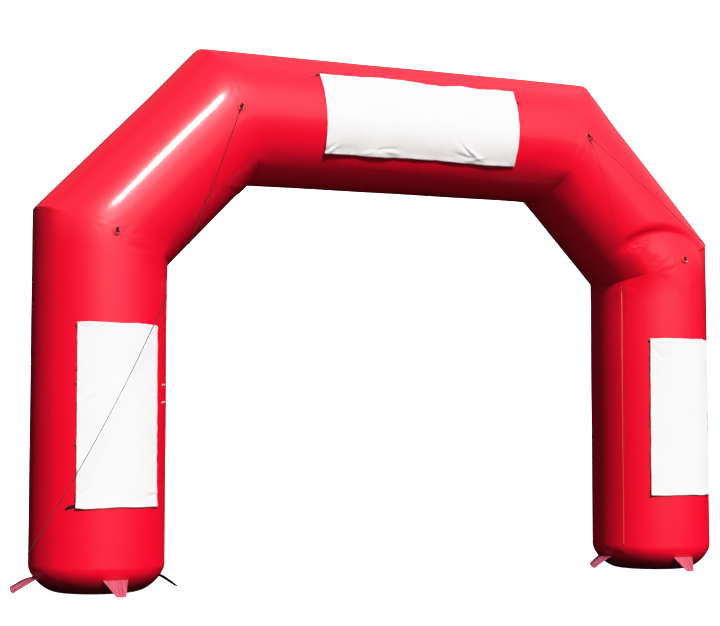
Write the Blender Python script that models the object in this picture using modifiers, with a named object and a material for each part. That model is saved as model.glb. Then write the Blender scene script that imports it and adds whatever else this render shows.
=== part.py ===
"""Inflatable arch: a mitred tube of five welded sections on two rounded bases.

Three blank banners are tied to its front, eight tabs peg its feet to the ground, and
two guy ropes run forward and outward from D-rings at its upper elbows.

Metres, +Z up.  The arch stands on z = 0, its opening is centred on x = 0, its tubes
are centred on y = 0 and its front faces -Y.
"""
import math
from collections import namedtuple

import bmesh
import bpy
from mathutils import Matrix, Vector

# ---------------------------------------------------------------- driving dimensions
WIDTH = 6.0  # over the outsides of the two legs
TUBE_R = 0.505
LEG_X = WIDTH / 2 - TUBE_R
LOWER_Z = 2.64  # where the axes of leg and shoulder meet
UPPER_X = 1.522  # where the axes of shoulder and beam meet
UPPER_Z = 3.63
TUBE_SIDES = 48
GAP = 0.0003  # between pieces that touch

BASE_H = 0.20  # height of the rounded base panel
FOOT_R = 0.30  # its flat underside
BASE_POWER = 1.6  # exponent of the superellipse between foot and tube
BASE_STEPS = 7

BANNER_OFF = 0.0035  # from the tube to the back of the cloth
BANNER_T = 0.002
BANNER_CELL_AROUND = 0.045  # fine enough that a flat cell stays clear of the ties
BANNER_CELL_ALONG = 0.11

TIE_OFF = 0.0006
TIE_T = 0.0014

TAB_ROOT_Z = 0.115
TAB_ROOT_GAP = 0.0012
TAB_ROOT_W = 0.19
TAB_TIP_W = 0.07
TAB_TIP_Z = 0.0045
TAB_T = 0.0025
TAB_PLEAT = 0.007
TAB_CELLS = (6, 4)

RING_WIRE_R = 0.0025
RING_HALF_W = 0.016
RING_NECK = 0.006  # straight part of the D between its bar and its bow
PAD_R = 0.034
PAD_T = 0.0025
STRAP_T = 0.0015
STRAP_W = 0.020
STRAP_TOP = 0.030
WRAP_R = RING_WIRE_R + GAP + STRAP_T
BAR_OFF = PAD_T + 2 * GAP + WRAP_R  # from the tube to the axis of the ring's bar

ROPE_D = 0.005
ROPE_STEPS = 64
HITCH_HALF = (0.0075, 0.0075, 0.0105)
KNOT_R = 0.010
EYE_WIRE_R = 0.0025
EYE_HALF_W = 0.013
EYE_LENGTH = 0.075

# ---------------------------------------------------------------- tables
# A banner spans "wide" from left to right and "high" from bottom to top, measured on
# the tube: around a leg from its front line and up it, or along the beam and around it.
Banner = namedtuple("Banner", "name place left right bottom top lean_left lean_right droop wave")
BANNERS = (
    Banner("top_banner", "beam", -0.865, 0.880, -0.299, 0.364, 0.032, -0.008, 0.022, 0.006),
    Banner("left_banner", "left_leg", -0.306, 0.346, 0.636, 1.976, 0.005, 0.010, 0.016, 0.003),
    Banner("right_banner", "right_leg", -0.299, 0.346, 0.638, 1.966, -0.002, 0.004, 0.006, 0.002),
)

# Broad soft ridges in the banners: where, how long and broad, how proud, how turned.
Crease = namedtuple("Crease", "banner wide high length breadth rise turn")
CREASES = (
    Crease("top_banner", -0.79, -0.25, 0.20, 0.055, 0.008, 40),
    Crease("top_banner", -0.36, -0.27, 0.30, 0.050, 0.006, 4),
    Crease("top_banner", 0.42, -0.22, 0.30, 0.055, 0.007, -28),
    Crease("top_banner", 0.60, 0.30, 0.34, 0.060, 0.004, 6),
    Crease("left_banner", -0.25, 1.50, 0.24, 0.055, 0.005, 70),
    Crease("left_banner", -0.24, 0.74, 0.22, 0.055, 0.006, 60),
    Crease("left_banner", 0.28, 0.72, 0.26, 0.055, 0.005, -55),
    Crease("right_banner", -0.24, 0.80, 0.26, 0.055, 0.004, 62),
    Crease("right_banner", 0.26, 1.84, 0.24, 0.055, 0.004, 48),
)

# Short straps from a banner's edge, and the two keepers inside the left leg.
Tie = namedtuple("Tie", "name place wide high turn length breadth bend")
TIES = (
    Tie("top_tie_1", "beam", -0.858, 0.345, 212, 0.050, 0.014, 0.0),
    Tie("top_tie_2", "beam", -0.835, 0.355, 90, 0.026, 0.010, 0.0),
    Tie("top_tie_3", "beam", 0.850, 0.333, 90, 0.024, 0.010, 0.0),
    Tie("top_tie_4", "beam", 0.874, 0.268, -48, 0.055, 0.012, 0.0),
    Tie("left_tie_1", "left_leg", -0.298, 1.947, 180, 0.024, 0.022, 0.0),
    Tie("left_tie_2", "left_leg", -0.298, 1.628, 180, 0.020, 0.012, 0.0),
    Tie("left_tie_3", "left_leg", -0.297, 1.528, 180, 0.022, 0.014, 0.0),
    Tie("left_tie_4", "left_leg", -0.296, 1.089, 180, 0.024, 0.012, 0.0),
    Tie("left_tie_5", "left_leg", -0.294, 0.690, 180, 0.022, 0.012, 0.0),
    Tie("left_tie_6", "left_leg", -0.294, 0.650, 196, 0.096, 0.020, 0.010),
    Tie("right_tie_1", "right_leg", -0.291, 1.940, 180, 0.026, 0.018, 0.0),
    Tie("right_tie_2", "right_leg", -0.293, 1.223, 180, 0.020, 0.012, 0.0),
    Tie("right_tie_3", "right_leg", -0.289, 0.902, 180, 0.020, 0.012, 0.0),
    Tie("right_tie_4", "right_leg", -0.293, 0.666, 180, 0.022, 0.012, 0.0),
    Tie("keeper_upper", "left_leg", 0.440, 1.530, 0, 0.180, 0.016, 0.0),
    Tie("keeper_lower", "left_leg", 0.435, 1.400, 0, 0.190, 0.016, 0.0),
)

# Anchor tabs: which leg, heading from the front (degrees, towards +X), reach of the tip
# from the leg's axis and how far the tip is pulled sideways.
Tab = namedtuple("Tab", "name side heading reach skew")
TABS = (
    Tab("left_tab_front", -1, 0, 0.60, 0.004),
    Tab("left_tab_inner", -1, 90, 0.63, -0.006),
    Tab("left_tab_back", -1, 180, 0.60, 0.003),
    Tab("left_tab_outer", -1, 270, 0.64, 0.006),
    Tab("right_tab_front", 1, 0, 0.585, -0.012),
    Tab("right_tab_outer", 1, 108, 0.62, -0.004),
    Tab("right_tab_back", 1, 180, 0.60, -0.004),
    Tab("right_tab_inner", 1, 270, 0.60, -0.010),
)

# D-rings: place of the bar on the tube's front line, turn of the strap in the tube's
# surface and tilt of the ring away from the tube, in degrees.
Ring = namedtuple("Ring", "name x z turn tilt")
RINGS = (
    Ring("upper_left", -1.56, 3.63, 24.6, 15.2),
    Ring("upper_right", 1.56, 3.63, -35.2, 29.3),
    Ring("lower_left", -2.52, 2.64, 0.0, 8.0),
    Ring("lower_right", 2.52, 2.64, 0.0, 8.0),
)

# Guy ropes: the points of each route after its hitch. The left one reaches the ground,
# and the right one ends where the photograph does.
LEFT_ROUTE = (
    (-1.729, -0.621, 3.250),
    (-1.880, -0.717, 2.942),
    (-2.031, -0.814, 2.647),
    (-2.182, -0.910, 2.364),
    (-2.333, -1.007, 2.093),
    (-2.484, -1.104, 1.835),
    (-2.634, -1.200, 1.589),
    (-2.785, -1.297, 1.355),
    (-2.936, -1.393, 1.133),
    (-3.087, -1.490, 0.922),
    (-3.238, -1.587, 0.722),
    (-3.389, -1.683, 0.532),
    (-3.539, -1.780, 0.352),
    (-3.690, -1.876, 0.180),
    (-3.841, -1.973, 0.017),
)
RIGHT_ROUTE = (
    (1.628, -0.583, 3.535),
    (1.687, -0.645, 3.453),
    (1.746, -0.706, 3.371),
    (1.806, -0.766, 3.288),
    (1.865, -0.826, 3.204),
    (1.925, -0.885, 3.120),
    (1.984, -0.944, 3.035),
    (2.044, -1.002, 2.950),
    (2.104, -1.060, 2.865),
    (2.164, -1.119, 2.781),
    (2.224, -1.177, 2.697),
    (2.284, -1.236, 2.613),
    (2.345, -1.295, 2.530),
)

# ---------------------------------------------------------------- materials
Finish = namedtuple("Finish", "colour roughness metallic")
FINISHES = {
    "red_pvc": Finish((0.80, 0.005, 0.025), 0.32, 0.0),
    "white_cloth": Finish((0.88, 0.88, 0.87), 0.70, 0.0),
    "pink_pvc": Finish((0.72, 0.05, 0.14), 0.40, 0.0),
    "black_webbing": Finish((0.012, 0.011, 0.012), 0.75, 0.0),
    "steel": Finish((0.40, 0.40, 0.41), 0.30, 1.0),
    "rope": Finish((0.045, 0.043, 0.045), 0.85, 0.0),
}


def clear_scene():
    for thing in list(bpy.data.objects):
        bpy.data.objects.remove(thing, do_unlink=True)


def make_material(name):
    finish = FINISHES[name]
    material = bpy.data.materials.new(name)
    material.use_nodes = True
    shader = material.node_tree.nodes["Principled BSDF"]
    shader.inputs["Base Color"].default_value = (*finish.colour, 1.0)
    shader.inputs["Roughness"].default_value = finish.roughness
    shader.inputs["Metallic"].default_value = finish.metallic
    return material


clear_scene()
MATERIALS = {name: make_material(name) for name in FINISHES}
ARCH = bpy.data.collections.new("inflatable_arch")
bpy.context.scene.collection.children.link(ARCH)


def add_object(name, data, material):
    thing = bpy.data.objects.new(name, data)
    ARCH.objects.link(thing)
    if not data.materials:
        data.materials.append(MATERIALS[material])
    return thing


def mesh_from(bm, name, smooth_angle=30):
    mesh = bpy.data.meshes.new(name)
    bmesh.ops.recalc_face_normals(bm, faces=bm.faces)
    bm.to_mesh(mesh)
    bm.free()
    mesh.shade_smooth()
    mesh.set_sharp_from_angle(angle=math.radians(smooth_angle))
    return mesh


def solidify(thing, thickness, offset):
    shell = thing.modifiers.new("thickness", "SOLIDIFY")
    shell.thickness = thickness
    shell.offset = offset
    shell.use_even_offset = True


# ---------------------------------------------------------------- tube sections
LOWER = Vector((LEG_X, 0.0, LOWER_Z))
UPPER = Vector((UPPER_X, 0.0, UPPER_Z))


def mitre_normal(before, after):
    """The direction across a mitre between two axes that meet."""
    return (before.normalized() + after.normalized()).normalized()


def cut_flat(bm, point, outward):
    """Cuts the body by a plane, drops what lies outward of it and closes the cut."""
    everything = bm.verts[:] + bm.edges[:] + bm.faces[:]
    bmesh.ops.bisect_plane(
        bm, geom=everything, plane_co=point, plane_no=outward, clear_outer=True
    )
    rim = [edge for edge in bm.edges if edge.is_boundary]
    bmesh.ops.holes_fill(bm, edges=rim, sides=0)


def tube_section(name, start, end, cut_before, cut_after):
    """A cylinder from start to end, cut square or to a mitre at each end."""
    along = end - start
    overrun = 2 * TUBE_R
    bm = bmesh.new()
    bmesh.ops.create_cone(
        bm,
        cap_ends=True,
        segments=TUBE_SIDES,
        radius1=TUBE_R,
        radius2=TUBE_R,
        depth=along.length + 2 * overrun,
    )
    # local X of the cylinder stays on world -Y, so a corner line runs down the front
    up = along.normalized()
    front = Vector((0.0, -1.0, 0.0))
    turn = Matrix((front, up.cross(front), up)).transposed().to_4x4()
    turn.translation = (start + end) / 2
    bmesh.ops.transform(bm, matrix=turn, verts=bm.verts)
    cut_flat(bm, start + cut_before * (GAP / 2), -cut_before)
    cut_flat(bm, end - cut_after * (GAP / 2), cut_after)
    return add_object(name, mesh_from(bm, name), "red_pvc")


def build_tubes():
    up = Vector((0.0, 0.0, 1.0))
    right = Vector((1.0, 0.0, 0.0))
    rising = LOWER - UPPER
    for word, side in (("left", -1), ("right", 1)):
        flip = Vector((side, 1.0, 1.0))
        lower = LOWER * flip
        upper = UPPER * flip
        climb = -rising * flip
        low_cut = mitre_normal(up, climb)
        high_cut = mitre_normal(climb, -right * side)
        leg_foot = Vector((LEG_X * side, 0.0, BASE_H))
        tube_section(word + "_leg", leg_foot, lower, up, low_cut)
        tube_section(word + "_shoulder", lower, upper, low_cut, high_cut)
    left_cut = mitre_normal(-rising * Vector((-1, 1, 1)), right)
    right_cut = left_cut * Vector((1, 1, -1))
    tube_section("top_beam", UPPER * Vector((-1, 1, 1)), UPPER, left_cut, right_cut)


def base_profile():
    """Radius and height of the rounded base, from the tube down to the flat foot."""
    power = 2 / BASE_POWER
    for step in range(BASE_STEPS + 1):
        angle = math.pi / 2 * (1 - step / BASE_STEPS)
        radius = FOOT_R + (TUBE_R - FOOT_R) * math.sin(angle) ** power
        height = BASE_H * (1 - math.cos(angle) ** power)
        yield radius, height


def base_radius(height):
    """Radius of the rounded base at a height."""
    drop = (1 - height / BASE_H) ** (BASE_POWER / 2)
    return FOOT_R + (TUBE_R - FOOT_R) * math.sin(math.acos(drop)) ** (2 / BASE_POWER)


def build_bases():
    top = BASE_H - GAP / 2
    outline = [(0.0, top)]
    outline += [(radius, min(height, top)) for radius, height in base_profile()]
    outline += [(0.0, 0.0)]
    for word, side in (("left", -1), ("right", 1)):
        name = word + "_base"
        mesh = bpy.data.meshes.new(name)
        points = [(radius, 0.0, height) for radius, height in outline]
        edges = [(i, i + 1) for i in range(len(points) - 1)]
        mesh.from_pydata(points, edges, [])
        base = add_object(name, mesh, "red_pvc")
        base.location = (LEG_X * side, 0.0, 0.0)
        # a corner line faces the front, as on the tubes
        base.rotation_euler = (0.0, 0.0, -math.pi / 2)
        spin = base.modifiers.new("turned", "SCREW")
        spin.steps = TUBE_SIDES
        spin.render_steps = TUBE_SIDES
        spin.use_merge_vertices = True
        spin.merge_threshold = 0.0001
        spin.use_smooth_shade = True


# ---------------------------------------------------------------- cloth on the tubes
def on_tube(place, wide, high, off):
    """A point on a tube's front, at a distance off its surface."""
    radius = TUBE_R + off
    if place == "beam":
        angle = high / TUBE_R
        return Vector((wide, -radius * math.cos(angle), UPPER_Z + radius * math.sin(angle)))
    axis = LEG_X if place == "right_leg" else -LEG_X
    angle = wide / TUBE_R
    return Vector((axis + radius * math.sin(angle), -radius * math.cos(angle), high))


def crease_rise(banner, wide, high):
    """How far a banner's creases lift it at a point."""
    rise = 0.0
    for crease in CREASES:
        if crease.banner != banner:
            continue
        turn = math.radians(crease.turn)
        dx = wide - crease.wide
        dy = high - crease.high
        along = (dx * math.cos(turn) + dy * math.sin(turn)) / (crease.length / 2)
        across = (dy * math.cos(turn) - dx * math.sin(turn)) / crease.breadth
        rise += crease.rise * math.exp(-along**2 - across**2)
    return rise


def banner_point(banner, u, v):
    """A point of a banner from its shares of the width and the height."""
    left = banner.left + banner.lean_left * (1 - v)
    right = banner.right + banner.lean_right * (1 - v)
    top = banner.top - banner.droop * u**4
    wide = left + (right - left) * u
    high = banner.bottom + (top - banner.bottom) * v
    high += banner.wave * math.sin(9 * u) * (2 * v - 1)
    off = BANNER_OFF + crease_rise(banner.name, wide, high)
    return on_tube(banner.place, wide, high, off)


def build_banners():
    for banner in BANNERS:
        cells = (BANNER_CELL_AROUND, BANNER_CELL_ALONG)
        if banner.place == "beam":
            cells = (BANNER_CELL_ALONG, BANNER_CELL_AROUND)
        columns = round((banner.right - banner.left) / cells[0])
        rows = round((banner.top - banner.bottom) / cells[1])
        bm = bmesh.new()
        bmesh.ops.create_grid(bm, x_segments=columns, y_segments=rows, size=0.5)
        for vert in bm.verts:
            vert.co = banner_point(banner, vert.co.x + 0.5, vert.co.y + 0.5)
        face_forward(bm)
        sheet = add_object(banner.name, sheet_mesh(bm, banner.name), "white_cloth")
        solidify(sheet, BANNER_T, 1.0)


def face_forward(bm):
    """Turns an open sheet's faces away from the tube's back."""
    bm.normal_update()
    if sum(face.normal.y * face.calc_area() for face in bm.faces) > 0:
        bmesh.ops.reverse_faces(bm, faces=bm.faces)


def sheet_mesh(bm, name):
    mesh = bpy.data.meshes.new(name)
    bm.to_mesh(mesh)
    bm.free()
    mesh.shade_smooth()
    return mesh


def build_ties():
    for tie in TIES:
        bm = bmesh.new()
        cells = max(2, round(tie.length / 0.025))
        bmesh.ops.create_grid(bm, x_segments=cells, y_segments=1, size=0.5)
        turn = math.radians(tie.turn)
        for vert in bm.verts:
            share = vert.co.x + 0.5
            run = share * tie.length
            side = vert.co.y * tie.breadth - tie.bend * math.sin(math.pi * share)
            wide = tie.wide + run * math.cos(turn) - side * math.sin(turn)
            high = tie.high + run * math.sin(turn) + side * math.cos(turn)
            vert.co = on_tube(tie.place, wide, high, TIE_OFF)
        face_forward(bm)
        finish = "pink_pvc" if tie.name.startswith("keeper") else "black_webbing"
        strap = add_object(tie.name, sheet_mesh(bm, tie.name), finish)
        solidify(strap, TIE_T, 1.0)


# ---------------------------------------------------------------- anchor tabs
def tab_point(tab, u, w):
    """A point of a tab that heads for -Y: u across it from -1 to 1, w from root to tip."""
    half = (TAB_ROOT_W + (TAB_TIP_W - TAB_ROOT_W) * w) / 2
    side = u * half + tab.skew * w
    root = math.sqrt(base_radius(TAB_ROOT_Z) ** 2 - (u * TAB_ROOT_W / 2) ** 2) + TAB_ROOT_GAP
    out = root + (tab.reach - root) * w
    height = TAB_ROOT_Z + (TAB_TIP_Z - TAB_ROOT_Z) * w
    pleat = TAB_PLEAT * math.sin(math.pi * w) * (0.5 + 0.5 * math.cos(2 * math.pi * u))
    return Vector((side, -out, height + pleat))


def build_tabs():
    for tab in TABS:
        bm = bmesh.new()
        bmesh.ops.create_grid(bm, x_segments=TAB_CELLS[0], y_segments=TAB_CELLS[1], size=1.0)
        for vert in bm.verts:
            vert.co = tab_point(tab, vert.co.x, (vert.co.y + 1) / 2)
        face_forward(bm)
        flap = add_object(tab.name, sheet_mesh(bm, tab.name), "pink_pvc")
        flap.location = (LEG_X * tab.side, 0.0, 0.0)
        flap.rotation_euler = (0.0, 0.0, math.radians(tab.heading))
        solidify(flap, TAB_T, 0.0)


# ---------------------------------------------------------------- D-rings
def ring_outline():
    """The D: its bar along X at z = 0 and its bow below, as a closed line."""
    corner = 0.0015
    yield Vector((-RING_HALF_W + corner, 0.0, 0.0))
    yield Vector((RING_HALF_W - corner, 0.0, 0.0))
    for step in range(11):
        angle = -math.pi * step / 10
        bow = Vector((math.cos(angle), 0.0, math.sin(angle))) * RING_HALF_W
        yield bow - Vector((0.0, 0.0, RING_NECK))


def wire_object(name, points, radius, material, cyclic):
    curve = bpy.data.curves.new(name, "CURVE")
    curve.dimensions = "3D"
    curve.bevel_depth = radius
    curve.bevel_resolution = 2
    curve.use_fill_caps = not cyclic
    line = curve.splines.new("POLY")
    line.points.add(len(points) - 1)
    for place, point in zip(line.points, points):
        place.co = (*point, 1.0)
    line.use_cyclic_u = cyclic
    return add_object(name, curve, material)


def strap_outline(curve):
    """The doubled webbing seen from its side, as a flat outline with the bar's hole.

    Local x runs off the tube and local y up it; the bar's axis is the origin.
    """
    near = -WRAP_R
    outline = [Vector((near, STRAP_TOP)), Vector((near + 2 * STRAP_T, STRAP_TOP))]
    for step in range(9):
        angle = math.pi * (0.1 - step / 8 * 1.1)
        outline.append(Vector((math.cos(angle), math.sin(angle))) * WRAP_R)
    hole = []
    for step in range(10):
        angle = 2 * math.pi * step / 10
        reach = (RING_WIRE_R + GAP) / math.cos(math.pi / 10)
        hole.append(Vector((math.cos(angle), math.sin(angle))) * reach)
    for corners in (outline, hole):
        line = curve.splines.new("POLY")
        line.points.add(len(corners) - 1)
        for place, corner in zip(line.points, corners):
            place.co = (corner.x, corner.y, 0.0, 1.0)
        line.use_cyclic_u = True


def build_rings():
    for ring in RINGS:
        hub = bpy.data.objects.new(ring.name + "_ring_place", None)
        ARCH.objects.link(hub)
        hub.location = (ring.x, -TUBE_R, ring.z)
        hub.rotation_euler = (0.0, math.radians(ring.turn), 0.0)

        bm = bmesh.new()
        bmesh.ops.create_cone(
            bm, cap_ends=True, segments=20, radius1=PAD_R, radius2=PAD_R, depth=PAD_T
        )
        pad = add_object(ring.name + "_pad", mesh_from(bm, "pad"), "red_pvc")
        pad.parent = hub
        pad.rotation_euler = (math.pi / 2, 0.0, 0.0)
        pad.location = (0.0, -(GAP + PAD_T / 2), 0.0)

        outline = bpy.data.curves.new(ring.name + "_strap", "CURVE")
        outline.dimensions = "2D"
        outline.fill_mode = "BOTH"
        outline.extrude = STRAP_W / 2
        strap_outline(outline)
        strap = add_object(ring.name + "_strap", outline, "black_webbing")
        strap.parent = hub
        strap.location = (0.0, -BAR_OFF, 0.0)
        # outline x to -Y, outline y to +Z, extrusion along X
        facing = Matrix(((0, 0, 1), (-1, 0, 0), (0, 1, 0)))
        strap.rotation_euler = facing.to_euler()

        loop = wire_object(ring.name + "_ring", list(ring_outline()), RING_WIRE_R, "steel", True)
        loop.parent = hub
        loop.location = (0.0, -BAR_OFF, 0.0)
        loop.rotation_euler = (-math.radians(ring.tilt), 0.0, 0.0)


# ---------------------------------------------------------------- guy ropes
def smooth_route(points, count):
    """Points at equal steps along a Catmull-Rom curve through the route's points."""
    ends = [points[0] * 2 - points[1], *points, points[-1] * 2 - points[-2]]
    fine = []
    for before, here, after, beyond in zip(ends, ends[1:], ends[2:], ends[3:]):
        for step in range(12):
            t = step / 12
            bend = 2 * before - 5 * here + 4 * after - beyond
            twist = 3 * here - before - 3 * after + beyond
            fine.append(here + ((after - before) * t + bend * t**2 + twist * t**3) / 2)
    fine.append(points[-1])
    lengths = [0.0]
    for here, after in zip(fine, fine[1:]):
        lengths.append(lengths[-1] + (after - here).length)
    even = []
    at = 0
    for step in range(count):
        wanted = lengths[-1] * step / (count - 1)
        while at < len(fine) - 2 and lengths[at + 1] < wanted:
            at += 1
        share = (wanted - lengths[at]) / (lengths[at + 1] - lengths[at])
        even.append(fine[at].lerp(fine[at + 1], min(share, 1.0)))
    return even


def lump(name, centre, half_sizes, towards):
    """A rounded knot with its long way pointing towards a direction."""
    bm = bmesh.new()
    bmesh.ops.create_uvsphere(bm, u_segments=12, v_segments=8, radius=1.0)
    knot = add_object(name, mesh_from(bm, name, 60), "rope")
    aim = towards.to_track_quat("Z", "Y").to_matrix()
    size = Matrix.Diagonal(Vector(half_sizes))
    knot.data.transform((aim @ size).to_4x4())
    knot.location = centre
    return knot


def ring_pull(ring):
    """The direction in which a ring hangs off its bar."""
    turn = math.radians(ring.turn)
    tilt = math.radians(ring.tilt)
    level = math.cos(tilt)
    return Vector((-math.sin(turn) * level, -math.sin(tilt), -math.cos(turn) * level))


def eye_outline(start, away):
    """A long loop that lies flat, from its knot outward."""
    side = Vector((-away.y, away.x, 0.0)).normalized()
    near = start + away * EYE_HALF_W
    far = start + away * (EYE_LENGTH - EYE_HALF_W)
    points = []
    for centre, first in ((far, -90), (near, 90)):
        for step in range(7):
            angle = math.radians(first + 30 * step)
            points.append(
                centre + (away * math.cos(angle) + side * math.sin(angle)) * EYE_HALF_W
            )
    return points


def build_rope(word, ring, route):
    pull = ring_pull(ring)
    bar = Vector((ring.x, -TUBE_R - BAR_OFF, ring.z))
    wire_end = RING_NECK + RING_HALF_W + RING_WIRE_R + GAP
    lump(word + "_hitch", bar + pull * (wire_end + HITCH_HALF[2]), HITCH_HALF, pull)
    start = bar + pull * (wire_end + 2 * HITCH_HALF[2] + GAP)
    points = [start, start + pull * 0.05, *(Vector(point) for point in route)]
    line = smooth_route(points, ROPE_STEPS)
    wire_object(word + "_rope", line, ROPE_D / 2, "rope", False)

    down = (line[-1] - line[-2]).normalized()
    centre = line[-1] + down * (KNOT_R + GAP)
    away = down
    on_ground = line[-1].z < 2 * KNOT_R
    if on_ground:
        centre.z = KNOT_R + GAP
        away = Vector((down.x, down.y, 0.0)).normalized()
    lump(word + "_peg_knot", centre, (KNOT_R, KNOT_R, KNOT_R), down)
    eye_start = centre + away * (KNOT_R + EYE_WIRE_R + 2 * GAP)
    if on_ground:
        eye_start.z = EYE_WIRE_R + GAP
    eye = eye_outline(eye_start, away)
    wire_object(word + "_peg_eye", eye, EYE_WIRE_R, "rope", True)


build_tubes()
build_bases()
build_banners()
build_ties()
build_tabs()
build_rings()
build_rope("left", RINGS[0], LEFT_ROUTE)
build_rope("right", RINGS[1], RIGHT_ROUTE)
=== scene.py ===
"""The looks of the inflatable arch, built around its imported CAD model.

Metres, +Z up.  The arch stands on z = 0 and its front faces -Y.
"""
from collections import namedtuple
from math import acos, cos, pi, radians, sin, tau

import bpy
import numpy as np
from mathutils import Matrix, Vector


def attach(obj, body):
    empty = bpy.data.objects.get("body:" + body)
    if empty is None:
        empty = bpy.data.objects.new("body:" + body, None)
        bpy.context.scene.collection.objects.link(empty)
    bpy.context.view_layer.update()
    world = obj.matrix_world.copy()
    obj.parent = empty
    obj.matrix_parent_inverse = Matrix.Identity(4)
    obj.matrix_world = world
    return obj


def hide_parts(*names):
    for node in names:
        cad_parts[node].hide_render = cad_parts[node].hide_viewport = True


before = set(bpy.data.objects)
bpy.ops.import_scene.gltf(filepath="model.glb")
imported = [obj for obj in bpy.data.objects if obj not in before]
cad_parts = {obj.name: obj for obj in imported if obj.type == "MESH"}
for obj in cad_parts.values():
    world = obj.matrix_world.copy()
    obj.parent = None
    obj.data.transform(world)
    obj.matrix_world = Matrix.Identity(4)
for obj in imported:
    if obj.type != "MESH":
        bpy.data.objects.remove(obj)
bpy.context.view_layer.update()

BODY = "root"

# ---------------------------------------------------------------- dimensions
TUBE_R = 0.505
LEG_X = 2.495
LOWER_Z = 2.64  # where the axes of leg and shoulder meet
UPPER_X = 1.522  # where the axes of shoulder and beam meet
UPPER_Z = 3.63
GAP = 0.0003

BASE_H = 0.20
FOOT_R = 0.30
BASE_POWER = 1.6

BANNER_OFF = 0.0045  # from the tube to the middle of the cloth
BANNER_T = 0.0014
BANNER_CELL = 0.009
EDGE_LIFTS = (0.0085, 0.004, 0.0085, 0.003)  # left, right, lower and upper edge
EDGE_LIFT_W = 0.032
EDGE_RIPPLE = 0.0013
OUTLINE_WAVE = 0.0016
CLOTH_SWELL = 0.0009
LEAST_OFF = 0.0016
TIE_PITCH = 0.36  # how far apart a banner's edge is held down
HEM_W = 0.028
HEM_RISE = 0.0011
STITCH_IN = 0.005  # how far its stitches are from the hem's inner edge
STITCH_W = 0.0022
STITCH_PITCH = 0.009
STITCH_SHARE = 0.62  # of the pitch that thread covers

RING_WIRE_R = 0.0025
RING_HALF_W = 0.016
RING_NECK = 0.006
PAD_T = 0.0025
STRAP_T = 0.0015
STRAP_W = 0.020
STRAP_TOP = 0.030
WRAP_R = RING_WIRE_R + GAP + STRAP_T
BAR_OFF = PAD_T + 2 * GAP + WRAP_R

ROPE_D = 0.005
ROPE_STEPS = 64
STRAND_PITCH = 0.034
STRAND_DEPTH = 0.07  # of the rope's radius
HITCH_L = 0.021
HITCH_YARN_R = 0.0021
KNOT_R = 0.010
KNOT_YARN_R = 0.0022
KNOT_CORE_R = 0.0042
EYE_WIRE_R = 0.0025
EYE_HALF_W = 0.013
EYE_LENGTH = 0.074

# ---------------------------------------------------------------- camera
LENS = 85.24
CAMERA_AT = (-6.271, -12.390, 1.2705)
CAMERA_YAW = 25.657  # degrees from +Y towards +X
CAMERA_PITCH = 3.592
CAMERA_ROLL = 0.07


def make_camera():
    data = bpy.data.cameras.new("camera")
    data.lens = LENS
    data.sensor_width = 36.0
    data.clip_end = 300.0
    camera = bpy.data.objects.new("camera", data)
    bpy.context.scene.collection.objects.link(camera)
    aim = Matrix.Rotation(-radians(CAMERA_YAW), 4, "Z")
    aim = aim @ Matrix.Rotation(radians(90 + CAMERA_PITCH), 4, "X")
    aim = aim @ Matrix.Rotation(radians(CAMERA_ROLL), 4, "Z")
    camera.matrix_world = Matrix.Translation(CAMERA_AT) @ aim
    bpy.context.scene.camera = camera


make_camera()


# ---------------------------------------------------------------- node materials
class Nodes:
    """Short calls that add nodes to a tree."""

    def __init__(self, tree):
        self.tree = tree

    def feed(self, socket, value):
        """Sets a socket to a number or colour, or links another node's output to it."""
        if isinstance(value, tuple):
            value = (*value, 1.0)
        if isinstance(value, (int, float, tuple)):
            socket.default_value = value
        else:
            self.tree.links.new(value, socket)

    def node(self, kind, links=(), **settings):
        node = self.tree.nodes.new("ShaderNode" + kind)
        for name, value in settings.items():
            if hasattr(node, name):
                setattr(node, name, value)
            else:
                node.inputs[name.replace("_", " ")].default_value = value
        for socket, source in links:
            self.tree.links.new(source, node.inputs[socket])
        return node

    def math(self, operation, *values, clamp=False):
        node = self.node("Math", operation=operation, use_clamp=clamp)
        for socket, value in zip(node.inputs, values):
            self.feed(socket, value)
        return node.outputs[0]

    def times(self, first, second):
        return self.math("MULTIPLY", first, second)


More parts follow.
